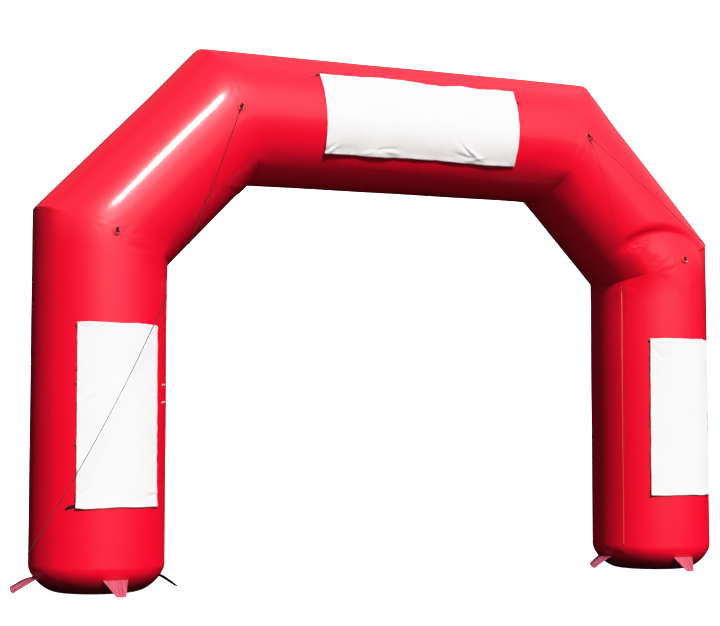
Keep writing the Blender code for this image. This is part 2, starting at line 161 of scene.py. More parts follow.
class Look(Nodes):
    """A node material."""

    def __init__(self, name):
        self.material = bpy.data.materials.new(name)
        self.material.use_nodes = True
        super().__init__(self.material.node_tree)
        self.shader = self.tree.nodes["Principled BSDF"]

    def set(self, **values):
        for name, value in values.items():
            self.feed(self.shader.inputs[name.replace("_", " ")], value)

    def attribute(self, name):
        return self.node("Attribute", attribute_name=name).outputs["Fac"]

    def cover(self):
        """The place on the flat cloth, in metres."""
        return self.node("UVMap", uv_map="cloth").outputs[0]

    def height(self):
        place = self.node("TexCoord").outputs["Object"]
        return self.node("SeparateXYZ", [("Vector", place)]).outputs[2]

    def noise(self, scale, detail=2.0, rough=0.5, where=None, squeeze=None):
        where = where or self.node("TexCoord").outputs["Object"]
        if squeeze:
            where = self.node("Mapping", [("Vector", where)], Scale=squeeze).outputs[0]
        settings = {"Scale": scale, "Detail": detail, "Roughness": rough}
        return self.node("TexNoise", [("Vector", where)], **settings).outputs["Fac"]

    def ramp(self, source, low, high, out_low=0.0, out_high=1.0):
        ends = {"From_Min": low, "From_Max": high, "To_Min": out_low, "To_Max": out_high}
        smooth = {"interpolation_type": "SMOOTHSTEP"}
        return self.node("MapRange", [("Value", source)], **smooth, **ends).outputs[0]

    def mix(self, share, first, second):
        node = self.node("Mix", data_type="RGBA")
        for index, value in ((0, share), (6, first), (7, second)):
            self.feed(node.inputs[index], value)
        return node.outputs[2]

    def paint(self, share, first, second):
        """Mixes the base colour."""
        self.feed(self.shader.inputs["Base Color"], self.mix(share, first, second))

    def bump(self, height, distance, strength=1.0):
        """Adds a bump on top of those the material already has."""
        node = self.node("Bump", [("Height", height)], Distance=distance, Strength=strength)
        normal = self.shader.inputs["Normal"]
        if normal.links:
            self.feed(node.inputs["Normal"], normal.links[0].from_socket)
        self.feed(normal, node.outputs[0])


def weave(look, pitch, where):
    """Crossed threads as a height, from coordinates in metres."""
    apart = look.node("SeparateXYZ", [("Vector", where)])
    waves = []
    for axis in (0, 1):
        turn = look.times(apart.outputs[axis], tau / pitch)
        waves.append(look.math("SINE", turn))
    return look.times(*waves)


def red_pvc():
    look = Look("red_pvc_coated")
    look.set(Specular_IOR_Level=0.30, Coat_Weight=0.62, Coat_Roughness=0.17, Coat_IOR=1.45)
    broad = look.noise(1.3, 3.0, 0.55)
    fine = look.noise(14.0, 2.0, 0.5)
    shade = look.ramp(broad, 0.3, 0.7)
    colour = look.mix(shade, (0.790, 0.0006, 0.0210), (0.840, 0.0010, 0.0245))
    patchy = look.ramp(fine, 0.2, 0.7, 0.76, 0.9)
    # painted shade near the ground: the red darkens below 0.17 m, unevenly, and is made a little
    # rougher there
    painted_ground_shade = look.times(look.ramp(look.height(), 0.17, 0.03), patchy)
    # painted shade: the crease attribute darkens the red towards maroon along the right leg's
    # furrow
    colour = look.mix(look.attribute("crease"), colour, (0.23, 0.0004, 0.006))
    look.paint(painted_ground_shade, colour, (0.075, 0.002, 0.004))
    dull = look.ramp(fine, 0.2, 0.8, 0.38, 0.46)
    look.set(Roughness=look.math("ADD", dull, look.times(painted_ground_shade, 0.2)))
    look.bump(look.noise(3.2, 2.0, 0.5), 0.0016)
    look.bump(look.noise(420.0, 1.0, 0.5), 0.00005)
    return look.material


def white_cloth():
    look = Look("white_banner_cloth")
    look.set(Roughness=0.62, Sheen_Weight=0.25, Sheen_Roughness=0.4)
    mottle = look.ramp(look.noise(5.0, 3.0, 0.6), 0.3, 0.75)
    cloth = look.mix(mottle, (0.80, 0.775, 0.755), (0.75, 0.725, 0.705))
    edge = look.attribute("edge")
    hem = look.ramp(edge, HEM_W, HEM_W * 0.9)
    cloth = look.mix(hem, cloth, (0.80, 0.765, 0.745))
    # painted bounce light: a pink rim along the cut edge, as lit by the red tube
    rim = look.ramp(edge, 0.010, 0.002)
    cloth = look.mix(rim, cloth, (0.80, 0.60, 0.58))
    run = look.math("FRACT", look.math("DIVIDE", look.attribute("run"), STITCH_PITCH))
    on_line = look.math("COMPARE", edge, HEM_W - STITCH_IN, STITCH_W / 2)
    stitch = look.times(on_line, look.math("LESS_THAN", run, STITCH_SHARE))
    look.paint(stitch, cloth, (0.55, 0.53, 0.52))
    look.bump(weave(look, 0.0028, look.cover()), 0.00012, 0.6)
    look.bump(look.noise(24.0, 3.0, 0.55), 0.0012, 0.5)
    look.bump(stitch, 0.0006)
    return look.material


def pink_pvc(name, light, dark, stripe):
    """Pleated strap: painted light on its ridges, painted shade in its folds, and a painted black
    shade along one edge.
    """
    look = Look(name)
    look.set(Roughness=0.42, Coat_Weight=0.3, Coat_Roughness=0.25)
    look.set(Subsurface_Weight=0.10, Subsurface_Scale=0.3)
    look.shader.inputs["Subsurface Radius"].default_value = (0.02, 0.006, 0.008)
    grain = look.noise(1.0, 3.0, 0.6, look.cover(), stripe)
    share = look.times(look.ramp(grain, 0.36, 0.62), 0.55)
    # the fold attribute paints the pleats' light and shade
    share = look.math("ADD", look.times(look.attribute("fold"), 0.55), share, clamp=True)
    # the rim attribute paints black shade along the strap's back edge
    look.paint(look.attribute("rim"), look.mix(share, dark, light), (0.012, 0.006, 0.008))
    look.bump(grain, 0.003)
    return look.material


def webbing():
    look = Look("black_webbing_weave")
    look.set(Roughness=0.72, Specular_IOR_Level=0.12)
    threads = weave(look, 0.0024, look.cover())
    look.paint(look.ramp(threads, -0.8, 0.8), (0.005, 0.004, 0.005), (0.018, 0.014, 0.015))
    look.bump(threads, 0.0004)
    return look.material


def steel():
    look = Look("ring_steel")
    look.set(Metallic=1.0, Base_Color=(0.11, 0.10, 0.11))
    scratches = look.noise(900.0, 2.0, 0.6, None, (1.0, 1.0, 0.15))
    look.set(Roughness=look.ramp(scratches, 0.3, 0.7, 0.24, 0.42))
    look.bump(scratches, 0.00004)
    return look.material


def rope_yarn():
    look = Look("rope_yarn")
    look.set(Roughness=0.85, Specular_IOR_Level=0.2)
    fibres = look.noise(1100.0, 2.0, 0.6)
    # painted shade in the grooves between the strands, from the fold attribute
    strand = look.ramp(look.attribute("fold"), 0.0, 0.8, 0.4, 1.0)
    tone = look.times(look.ramp(fibres, 0.3, 0.7, 0.6, 1.0), strand)
    look.paint(tone, (0.006, 0.005, 0.006), (0.026, 0.022, 0.024))
    look.bump(fibres, 0.0003)
    return look.material


def seam_pink():
    look = Look("weld_tape_pink")
    look.set(Roughness=0.4, Coat_Weight=0.5, Coat_Roughness=0.2)
    patchy = look.ramp(look.noise(9.0), 0.35, 0.65, 0.7, 1.0)
    share = look.times(look.ramp(look.height(), 1.3, 2.3, 0.25, 1.0), patchy)
    look.paint(share, (0.80, 0.010, 0.040), (0.86, 0.17, 0.21))
    return look.material


def floor_pale():
    look = Look("pale_floor")
    look.set(Roughness=0.9, Emission_Color=(1.0, 1.0, 1.0), Emission_Strength=1.3)
    share = look.ramp(look.noise(0.4, 3.0, 0.6), 0.3, 0.7)
    look.paint(share, (0.80, 0.80, 0.79), (0.82, 0.82, 0.81))
    return look.material


ALONG_TAB = (95.0, 6.0, 1.0)
ALONG_KEEPER = (4.0, 90.0, 1.0)
PINKS = {
    # each pink: the colour painted on its ridges as light, the colour painted in its folds as
    # shade, and the stretch of its grain
    "tab_pvc": ((0.62, 0.11, 0.17), (0.17, 0.004, 0.020), ALONG_TAB),
    # a darker copy of the tab colours: painted shade for the tabs turned away from the light
    "worn_tab_pvc": ((0.40, 0.045, 0.10), (0.07, 0.002, 0.014), ALONG_TAB),
    "keeper_pvc": ((0.88, 0.48, 0.52), (0.60, 0.16, 0.2), ALONG_KEEPER),
}
LOOKS = {
    "red_pvc": red_pvc(),
    "white_cloth": white_cloth(),
    **{name: pink_pvc(name, *tones) for name, tones in PINKS.items()},
    "black_webbing": webbing(),
    "steel": steel(),
    "rope": rope_yarn(),
    "seam": seam_pink(),
    "floor": floor_pale(),
}
SLOT_OF = dict.fromkeys((*PINKS, "seam"), "pink_pvc")


# ---------------------------------------------------------------- mesh helpers
def smoothstep(low, high, value):
    share = np.clip((value - low) / (high - low), 0.0, 1.0)
    return share * share * (3 - 2 * share)


def bell(distance, width):
    return np.exp(-((distance / width) ** 2))


def unit(vectors):
    return vectors / np.linalg.norm(vectors, axis=-1, keepdims=True)


def together(*coordinates):
    """Points, or places on a flat cloth, from their coordinates."""
    return np.stack(np.broadcast_arrays(*coordinates), -1)


def add_piece(name, mesh, look, replaces=()):
    piece = bpy.data.objects.new(name, mesh)
    bpy.context.scene.collection.objects.link(piece)
    mesh.materials.append(LOOKS[look])
    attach(piece, BODY)
    if replaces:
        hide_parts(*replaces)
    return piece


def grid_faces(rows, columns, closed):
    """Quads of a grid of points, wound so that rows cross columns facing out."""
    row = np.arange(rows - 1)[:, None] * columns
    across = np.arange(columns if closed else columns - 1)[None, :]
    beside = (across + 1) % columns
    corners = (row + across, row + columns + across, row + columns + beside, row + beside)
    return np.stack(corners, -1).reshape(-1, 4)


def grid_mesh(name, points, closed=False, caps=False, uv=None, values=None):
    """A mesh of quads from rows x columns points, with flat maps and values on it."""
    rows, columns = points.shape[:2]
    verts = points.reshape(-1, 3)
    faces = grid_faces(rows, columns, closed).tolist()
    if caps:
        verts, faces = cap_ends(verts, faces, rows, columns)
    mesh = bpy.data.meshes.new(name)
    mesh.from_pydata(verts.tolist(), [], faces)
    mesh.shade_smooth()
    if caps:
        crisp_rims(mesh, rows, columns)
    if uv is not None:
        layer = mesh.uv_layers.new(name="cloth")
        at = np.zeros(len(mesh.loops), np.int32)
        mesh.loops.foreach_get("vertex_index", at)
        layer.uv.foreach_set("vector", uv.reshape(-1, 2)[at].astype(np.float32).ravel())
    for key, value in (values or {}).items():
        attribute = mesh.attributes.new(key, "FLOAT", "POINT")
        attribute.data.foreach_set("value", value.astype(np.float32).ravel())
    return mesh


def cap_ends(verts, faces, rows, columns):
    """Closes both ends of a tube, each with a fan round one point."""
    first = verts[:columns].mean(0)
    last = verts[-columns:].mean(0)
    centre = len(verts)
    start = (rows - 1) * columns
    for i in range(columns):
        j = (i + 1) % columns
        faces.append([centre, i, j])
        faces.append([centre + 1, start + j, start + i])
    return np.vstack([verts, first, last]), faces


def crisp_rims(mesh, rows, columns):
    """Keeps the shading of a tube's wall clear of its end caps."""
    ends = np.zeros(2 * len(mesh.edges), np.int32)
    mesh.edges.foreach_get("vertices", ends)
    row = ends.reshape(-1, 2) // columns
    rim = (row[:, 0] == row[:, 1]) & np.isin(row[:, 0], (0, rows - 1))
    mesh.attributes.new("sharp_edge", "BOOLEAN", "EDGE").data.foreach_set("value", rim)


def thicken(piece, thickness, offset=0.0):
    """Gives a sheet its thickness as real faces."""
    shell = piece.modifiers.new("thickness", "SOLIDIFY")
    shell.thickness = thickness
    shell.offset = offset
    shell.use_even_offset = True
    shell.use_quality_normals = True


def add_skin(node, points, values=None):
    """An air-filled piece in place of a CAD solid."""
    mesh = grid_mesh(node + "_skin", points, closed=True, caps=True, values=values)
    skin = add_piece(node + "_skin", mesh, "red_pvc", [node])


def add_sheet(node, ending, look, points, thickness, uv, values, **facts):
    """A thin piece of cloth in place of a CAD sheet, its grid flipped to face outward."""
    flipped = {key: value[::-1] for key, value in values.items()}
    mesh = grid_mesh(node + ending, points[::-1], uv=uv[::-1], values=flipped)
    sheet = add_piece(node + ending, mesh, look, [node])
    thicken(sheet, thickness)


# ---------------------------------------------------------------- ropes
def smooth_route(points, count):
    """Points at equal steps along a Catmull-Rom curve through the route's points."""
    ends = [points[0] * 2 - points[1], *points, points[-1] * 2 - points[-2]]
    fine = []
    for before, here, after, beyond in zip(ends, ends[1:], ends[2:], ends[3:]):
        for step in range(12):
            t = step / 12
            bend = 2 * before - 5 * here + 4 * after - beyond
            twist = 3 * here - before - 3 * after + beyond
            fine.append(here + ((after - before) * t + bend * t**2 + twist * t**3) / 2)
    fine.append(points[-1])
    return resample(fine, count)


def resample(points, count):
    """The same line in count points at equal steps."""
    line = np.array([tuple(point) for point in points])
    run = np.concatenate([[0], np.cumsum(np.linalg.norm(np.diff(line, axis=0), axis=1))])
    wanted = np.linspace(0, run[-1], count)
    return np.stack([np.interp(wanted, run, line[:, axis]) for axis in range(3)], 1)


def line_length(line):
    return float(np.linalg.norm(np.diff(line, axis=0), axis=1).sum())


def carried_frames(line, closed=False):
    """Two directions across a line at each point, carried along it without twist."""
    if closed:
        along = unit(np.roll(line, -1, 0) - np.roll(line, 1, 0))
    else:
        along = unit(np.gradient(line, axis=0))
    side = np.cross(along[0], (0.0, 0.0, 1.0))
    if np.linalg.norm(side) < 0.1:
        side = np.cross(along[0], (0.0, 1.0, 0.0))
    sides = []
    for direction in along:
        side = side - direction * (side @ direction)
        side = side / np.linalg.norm(side)
        sides.append(side)
    sides = np.array(sides)
    return sides, np.cross(along, sides)


def add_rope(name, line, radius, replaces=(), closed=False, step=0.0045):
    """A three-strand rope along a line."""
    count = max(8, round(line_length(line) / step))
    ring = np.vstack([line, line[:1]]) if closed else line
    fine = resample(ring, count + 1)
    if closed:
        fine = fine[:-1]
    sides, ups = carried_frames(fine, closed)
    run = np.arange(len(fine)) * step
    turns = tau * np.arange(12) / 12
    strand = np.cos(3 * (turns[None, :] - tau * run[:, None] / STRAND_PITCH))
    reach = radius * (1 - STRAND_DEPTH + STRAND_DEPTH * strand)
    across = sides[:, None] * np.cos(turns)[None, :, None]
    across = across + ups[:, None] * np.sin(turns)[None, :, None]
    points = fine[:, None] + across * reach[..., None]
    if closed:
        points = np.concatenate([points, points[:1]])
        strand = np.concatenate([strand, strand[:1]])
    # fold: light on the strands' crowns and painted shade in the grooves between them
    fold = (strand + 1) / 2
    if not closed:
        fold = np.append(fold.ravel(), (0.5, 0.5))
    mesh = grid_mesh(name, points[:, ::-1], True, not closed, values={"fold": fold})
    return add_piece(name, mesh, "rope", replaces)


Ring = namedtuple("Ring", "name x z turn tilt")
RINGS = (
    Ring("upper_left", -1.56, 3.63, 24.6, 15.2),
    Ring("upper_right", 1.56, 3.63, -35.2, 29.3),
    Ring("lower_left", -2.52, 2.64, 0.0, 8.0),
    Ring("lower_right", 2.52, 2.64, 0.0, 8.0),
)

# The points of each rope's route after its hitch. The left one reaches the ground,
# and the right one ends just past the photograph's edge.
LEFT_ROUTE = (
    (-1.729, -0.621, 3.250),
    (-1.880, -0.717, 2.942),
    (-2.031, -0.814, 2.647),
    (-2.182, -0.910, 2.364),
    (-2.333, -1.007, 2.093),
    (-2.484, -1.104, 1.835),
    (-2.634, -1.200, 1.589),
    (-2.785, -1.297, 1.355),
    (-2.936, -1.393, 1.133),
    (-3.087, -1.490, 0.922),
    (-3.238, -1.587, 0.722),
    (-3.389, -1.683, 0.532),
    (-3.539, -1.780, 0.352),
    (-3.690, -1.876, 0.180),
    (-3.841, -1.973, 0.017),
)
RIGHT_ROUTE = (
    (1.628, -0.583, 3.535),
    (1.687, -0.645, 3.453),
    (1.746, -0.706, 3.371),
    (1.806, -0.766, 3.288),
    (1.865, -0.826, 3.204),
    (1.925, -0.885, 3.120),
    (1.984, -0.944, 3.035),
    (2.044, -1.002, 2.950),
    (2.104, -1.060, 2.865),
    (2.164, -1.119, 2.781),
    (2.224, -1.177, 2.697),
    (2.284, -1.236, 2.613),
    (2.345, -1.295, 2.530),
)


def ring_pull(ring):
    """The direction in which a ring hangs off its bar."""
    turn = radians(ring.turn)
    tilt = radians(ring.tilt)
    level = cos(tilt)
    return Vector((-sin(turn) * level, -sin(tilt), -cos(turn) * level))


def helix(centre, along, side, radius, start, end, turns, steps=14):
    """Points winding round a line from one distance along it to another."""
    up = along.cross(side)
    points = []
    for i in range(round(turns * steps) + 1):
        share = i / (turns * steps)
        angle = tau * turns * share
        across = side * cos(angle) + up * sin(angle)
        points.append(centre + along * (start + (end - start) * share) + across * radius)
    return points


def eye_outline(start, away):
    """A long loop that lies flat, from its knot outward."""
    side = Vector((-away.y, away.x, 0.0)).normalized()
    near = start + away * EYE_HALF_W
    far = start + away * (EYE_LENGTH - EYE_HALF_W)
    points = []
    for centre, first in ((far, -90), (near, 90)):
        for step in range(7):
            angle = radians(first + 30 * step)
            spoke = away * cos(angle) + side * sin(angle)
            points.append(centre + spoke * EYE_HALF_W)
    return points


def make_hitch(word, ring, bar, pull):
    """Two turns of the rope round the ring's bow, then three round itself."""
    turn = radians(ring.turn)
    across = Vector((cos(turn), 0.0, -sin(turn)))
    off = pull.cross(across).normalized()
    bow = bar + pull * (RING_NECK + RING_HALF_W)
    grip = RING_WIRE_R + HITCH_YARN_R + 0.0004
    points = helix(bow, across, -pull, grip, -0.0032, 0.0032, 2.0)
    wrap_from = grip + 0.0035
    wrap_to = RING_WIRE_R + GAP + HITCH_L - 0.001
    points += helix(bow, pull, off, HITCH_YARN_R * 2.0, wrap_from, wrap_to, 3.0)
    line = resample(smooth_route(points, 240), 240)
    name = word + "_hitch"
    turns = add_rope(name + "_turns", line, HITCH_YARN_R, [name], step=0.0016)
    standing = np.array([tuple(bow + pull * at) for at in (grip - 0.0006, wrap_to + 0.0012)])
    return [turns, add_rope(name + "_core", standing, HITCH_YARN_R)]


def make_rope(word, ring, route):
    pull = ring_pull(ring)
    bar = Vector((ring.x, -TUBE_R - BAR_OFF, ring.z))
    wire_end = RING_NECK + RING_HALF_W + RING_WIRE_R + GAP
    start = bar + pull * (wire_end + HITCH_L + GAP)
    points = [start, start + pull * 0.05, *(Vector(point) for point in route)]
    line = smooth_route(points, ROPE_STEPS)
    rope = add_rope(word + "_guy_rope", line, ROPE_D / 2, [word + "_rope"])

    last = Vector(line[-1])
    down = (last - Vector(line[-2])).normalized()
    centre = last + down * (KNOT_R + GAP)
    away = down
    on_ground = last.z < 2 * KNOT_R
    if on_ground:
        centre.z = KNOT_R + GAP
        away = Vector((down.x, down.y, 0.0)).normalized()
    side = Vector((-away.y, away.x, 0.0)).normalized()
    winding = helix(centre, away, side, KNOT_R - KNOT_YARN_R - 0.0008, -0.008, 0.008, 4.0)
    turns = smooth_route(winding, 260)
    name = word + "_end_knot"
    knot = add_rope(name + "_turns", turns, KNOT_YARN_R, [word + "_peg_knot"], step=0.0018)
    through = [last - down * 0.002, centre, centre + away * (KNOT_R + 0.002)]
    core = add_rope(name + "_core", smooth_route(through, 16), KNOT_CORE_R)

    eye_start = centre + away * (KNOT_R + EYE_WIRE_R + 2 * GAP)
    if on_ground:
        eye_start.z = EYE_WIRE_R + GAP
    outline = np.array([tuple(point) for point in eye_outline(eye_start, away)])
    wire = EYE_WIRE_R * 0.97
    eye = add_rope(word + "_end_eye", outline, wire, [word + "_peg_eye"], closed=True)
    hitch = make_hitch(word, ring, bar, pull)


make_rope("left", RINGS[0], LEFT_ROUTE)
make_rope("right", RINGS[1], RIGHT_ROUTE)


# ---------------------------------------------------------------- the tube's sections
FRONT = np.array((0.0, -1.0, 0.0))
CORNERS = np.array(
    (
        (-LEG_X, 0.0, BASE_H),
        (-LEG_X, 0.0, LOWER_Z),
        (-UPPER_X, 0.0, UPPER_Z),
        (UPPER_X, 0.0, UPPER_Z),
        (LEG_X, 0.0, LOWER_Z),
        (LEG_X, 0.0, BASE_H),
    )
)
SECTIONS = ("left_leg", "left_shoulder", "top_beam", "right_shoulder", "right_leg")
RUNS = unit(np.diff(CORNERS, axis=0))  # direction of each section's axis
OUTWARDS = np.cross(FRONT, RUNS)
MITRES = np.vstack([RUNS[:1], unit(RUNS[:-1] + RUNS[1:]), RUNS[-1:]])

TUBE_COLUMNS = 288
TURNS = tau * np.arange(TUBE_COLUMNS) / TUBE_COLUMNS
ROUNDING = (0.0, 0.19, 0.18, 0.26, 0.24, 0.0)  # how far from each mitre its corner is eased
TAPE_HALF = 0.020
TAPE_RISE = 0.0002
WELD_GROOVE = 0.0003
WELD_GROOVE_W = 0.004
PUCKER_RISE = 0.0007  # small puckers beside each weld: rise, distance and breadth
PUCKER_AT = 0.055
PUCKER_W = 0.03
SWELL_RISE = 0.0012  # slow unevenness of the whole skin
SWELL_SIZE = 0.9
# Rows of points beside a mitre, by their distance from it, and how far apart the others are.
NEAR_MITRE = (0.0, 0.004, 0.009, 0.014, 0.018, 0.022, 0.030, 0.040, 0.052)
NEAR_MITRE += (0.066, 0.082, 0.1, 0.12, 0.145, 0.17, 0.2, 0.23)
ROW_STEPS = dict(zip(SECTIONS, (0.03, 0.02, 0.03, 0.0125, 0.018)))

# A soft fold round the front of the right lower elbow: points on it and its depth.
FOLD = (
    ((1.81, -0.28, 2.50), 0.0),
    ((1.86, -0.34, 2.60), 0.004),
    ((1.93, -0.40, 2.685), 0.013),
    ((2.03, -0.465, 2.775), 0.026),
    ((2.14, -0.50, 2.832), 0.036),
    ((2.30, -0.505, 2.866), 0.039),
    ((2.44, -0.49, 2.868), 0.037),
    ((2.58, -0.46, 2.848), 0.031),
    ((2.68, -0.435, 2.800), 0.022),
    ((2.75, -0.42, 2.72), 0.010),
    ((2.79, -0.41, 2.60), 0.0),
)
FOLD_ABOVE = 0.050  # how broad the fold is on its upper side, turned down
FOLD_BELOW = 0.160  # and on its lower side, turned up
FOLD_REACH = ((2.4, -0.45, 2.5), 1.1)  # the ball that it lies in


# The beam is a little taller than it is deep: how far its top is lifted and its
# underside let down, at places along x.
BEAM_X = (-2.2, -1.7, -1.2, 0.0, 1.2, 1.8, 2.4)
BEAM_LIFT = (0.004, 0.013, 0.016, 0.021, 0.026, 0.028, 0.010)
BEAM_DROP = (0.0, 0.002, 0.014, 0.004, 0.0, 0.0, 0.0)


def shaped(points):
    """Points of the upper tubes, moved up or down to the beam's own section."""
    x, z = points[..., 0], points[..., 2]
    rise = np.interp(x, BEAM_X, BEAM_LIFT) * smoothstep(UPPER_Z + 0.07, UPPER_Z + 0.47, z)
    drop = np.interp(x, BEAM_X, BEAM_DROP) * smoothstep(UPPER_Z - 0.18, UPPER_Z - 0.48, z)
    moved = points.copy()
    moved[..., 2] += rise - drop * (z > LOWER_Z + 0.4)
    return moved


def radial(section, turns):
    """Outward directions of a section at angles from its front line, outside positive."""
    return OUTWARDS[section] * np.sin(turns)[:, None] + FRONT * np.cos(turns)[:, None]


def wave_field(points, seed, size, count=6):
    """Slow smooth noise between about -1 and 1, the same on pieces that meet."""
    rng = np.random.default_rng(seed)
    total = np.zeros(points.shape[:-1])
    for _ in range(count):
        direction = unit(rng.normal(size=3)) * tau / (size * rng.uniform(0.7, 1.6))
        total += np.sin(points @ direction + rng.uniform(0, tau))
    return total / count**0.5


def eased_corner(section, beside, towards, turns, distance):
    """How a mitre's corner is rounded off along the front, and left sharp on its outline."""
    here = radial(section, turns)
    middle = unit(here + radial(beside, turns))
    slope = middle @ towards
    corner = max(section, beside)
    crisp = (0.5, 0.8) if CORNERS[corner, 0] > 0 else (0.66, 0.92)
    share = 1 - 0.92 * smoothstep(*crisp, np.abs(np.sin(turns)))
    reach = np.clip(ROUNDING[corner] - distance, 0.0, None)
    depth = slope[None, :] * share[None, :] * reach**2 / (2 * ROUNDING[corner])
    return -middle[None] * depth[..., None]


def near_line(points, marks, count, reach):
    """Which points are close to a line of (place, depth) marks, and for each of those
    how far off it is, how deep the line is there, and the way to it from the line."""
    places = np.array([place for place, _ in marks])
    line = resample(smooth_route([Vector(place) for place, _ in marks], count), count)
    at_mark = np.linalg.norm(line[None] - places[:, None], axis=2).argmin(1)
    depths = np.interp(np.arange(count), at_mark, [depth for _, depth in marks])
    centre, radius = reach
    close = np.linalg.norm(points - np.array(centre), axis=-1) < radius
    away = np.linalg.norm(points[close][:, None] - line[None], axis=2)
    at = away.argmin(1)
    return close, away.min(1), depths[at], points[close] - line[at]


def fold_depth(points):
    """Depth of the right elbow's fold at each point."""
    close, gap, deep, offset = near_line(points, FOLD, 200, FOLD_REACH)
    over = smoothstep(-0.06, 0.03, offset[:, 2] + offset[:, 0])
    depth = np.zeros(points.shape[:-1])
    depth[close] = deep * bell(gap, FOLD_BELOW + (FOLD_ABOVE - FOLD_BELOW) * over)
    return depth


# The same elbow pulls a shallow furrow down the outside of its leg.
FURROW_TURN = radians(35.0)
FURROW_NEAR = 0.026
FURROW_FAR = 0.15
FURROW_HEIGHTS = (0.20, 0.60, 1.40, 2.10, 2.50, 2.74, 2.90, 3.00)
FURROW_DEPTHS = (0.0, 0.006, 0.012, 0.019, 0.023, 0.023, 0.012, 0.0)


def furrow_depth(turns, heights):
    """Depth of the furrow beside the right leg's outline."""
    gap = (np.remainder(turns - FURROW_TURN + pi, tau) - pi) * TUBE_R
    side = bell(gap, np.where(gap < 0, FURROW_NEAR, FURROW_FAR))
    return side[None] * np.interp(heights, FURROW_HEIGHTS, FURROW_DEPTHS)


# Shade painted along its bottom: heights, and the turn and shade of its darkest painted line there.
LINE_HEIGHTS = (1.50, 1.90, 2.40, 2.60, 2.74, 2.86)
LINE_TURNS = tuple(radians(turn) for turn in (57, 57, 57, 61, 65, 74))
LINE_SHADE = (0.0, 0.62, 0.66, 0.62, 0.50, 0.0)
LINE_NEAR = 0.050
LINE_FAR = 0.19


def furrow_painted_shade(points):
    """How much shade is painted on the bottom of the furrow at each point of the right leg."""
    heights = points[..., 2]
    gap = (TURNS - np.interp(heights, LINE_HEIGHTS, LINE_TURNS)) * TUBE_R
    side = bell(gap, np.where(gap > 0, LINE_NEAR, LINE_FAR))
    return side * np.interp(heights, LINE_HEIGHTS, LINE_SHADE)


# A crease that the right rope pulls in the cloth under its ring.
PULL_CREASE = (
    ((1.552, -0.50, 3.655), 0.0),
    ((1.556, -0.50, 3.620), 0.008),
    ((1.578, -0.50, 3.560), 0.009),
    ((1.600, -0.495, 3.480), 0.007),
    ((1.612, -0.48, 3.380), 0.004),
    ((1.620, -0.46, 3.280), 0.002),
    ((1.625, -0.44, 3.180), 0.0),
)
PULL_WIDTH = 0.011
PULL_REACH = (PULL_CREASE[3][0], 0.5)


def crease_depth(points):
    """Depth of the crease under the right rope's ring."""
    close, gap, deep, _ = near_line(points, PULL_CREASE, 120, PULL_REACH)
    depth = np.zeros(points.shape[:-1])
    depth[close] = deep * bell(gap, PULL_WIDTH)
    return depth


def section_rows(name, length):
    """Shares of the way along a section, as (fixed from the start, share, fixed from the end)."""
    near = np.array(NEAR_MITRE)
    middle = max(4, round((length - 2 * near[-1]) / ROW_STEPS[name]))
    shares = np.linspace(0, 1, middle + 1)[1:-1]
    rows = [(d, 0.0, 0.0) for d in near]
    rows += [(near[-1] * (1 - share), share, -near[-1] * share) for share in shares]
    rows += [(0.0, 1.0, -d) for d in near[::-1]]
    return np.array(rows)


# ---------------------------------------------------------------- cloth simulation
SIM_COLUMN_SKIP = 3
SIM_NEAR = (0, 5, 7, 9, 11, 13, 15, 16)  # the rows beside a mitre that are simulated
SIM_CELL = 0.040
SIM_FRAMES = 18
SIM_OVERSIZE = 0.003  # how much wider than its welds the cloth was cut
SIM_PRESSURE = 4.0
SETTLED_CAP = 0.0009
SETTLED_FADE = 0.07  # how near a weld the simulated puckers begin


def simulate(name, start):
    """Where a coarse tube of cloth settles, blown up between its two welds."""
    mesh = grid_mesh(name + "_coarse", start, closed=True, caps=True)
    cloth = bpy.data.objects.new(name + "_coarse", mesh)
    scene = bpy.context.scene
    scene.collection.objects.link(cloth)
    ring = start.shape[1]
    count = start.shape[0] * ring
    pins = [*range(ring), *range(count - ring, count + 2)]
    cloth.vertex_groups.new(name="pin").add(pins, 1.0, "REPLACE")
    settings = cloth.modifiers.new("cloth", "CLOTH").settings
    settings.vertex_group_mass = "pin"
    settings.quality = 4
    settings.bending_stiffness = 0.4
    settings.shrink_min = -SIM_OVERSIZE
    settings.use_pressure = True
    settings.uniform_pressure_force = SIM_PRESSURE
    settings.effector_weights.gravity = 0.0
    for number in range(1, SIM_FRAMES + 1):
        scene.frame_set(number)
    settled = cloth.evaluated_get(bpy.context.evaluated_depsgraph_get()).data
    after = np.zeros(3 * len(settled.vertices), np.float32)
    settled.vertices.foreach_get("co", after)
    scene.frame_set(1)
    bpy.data.objects.remove(cloth)
    bpy.data.meshes.remove(mesh)
    return after.reshape(-1, 3)[:count].reshape(start.shape)


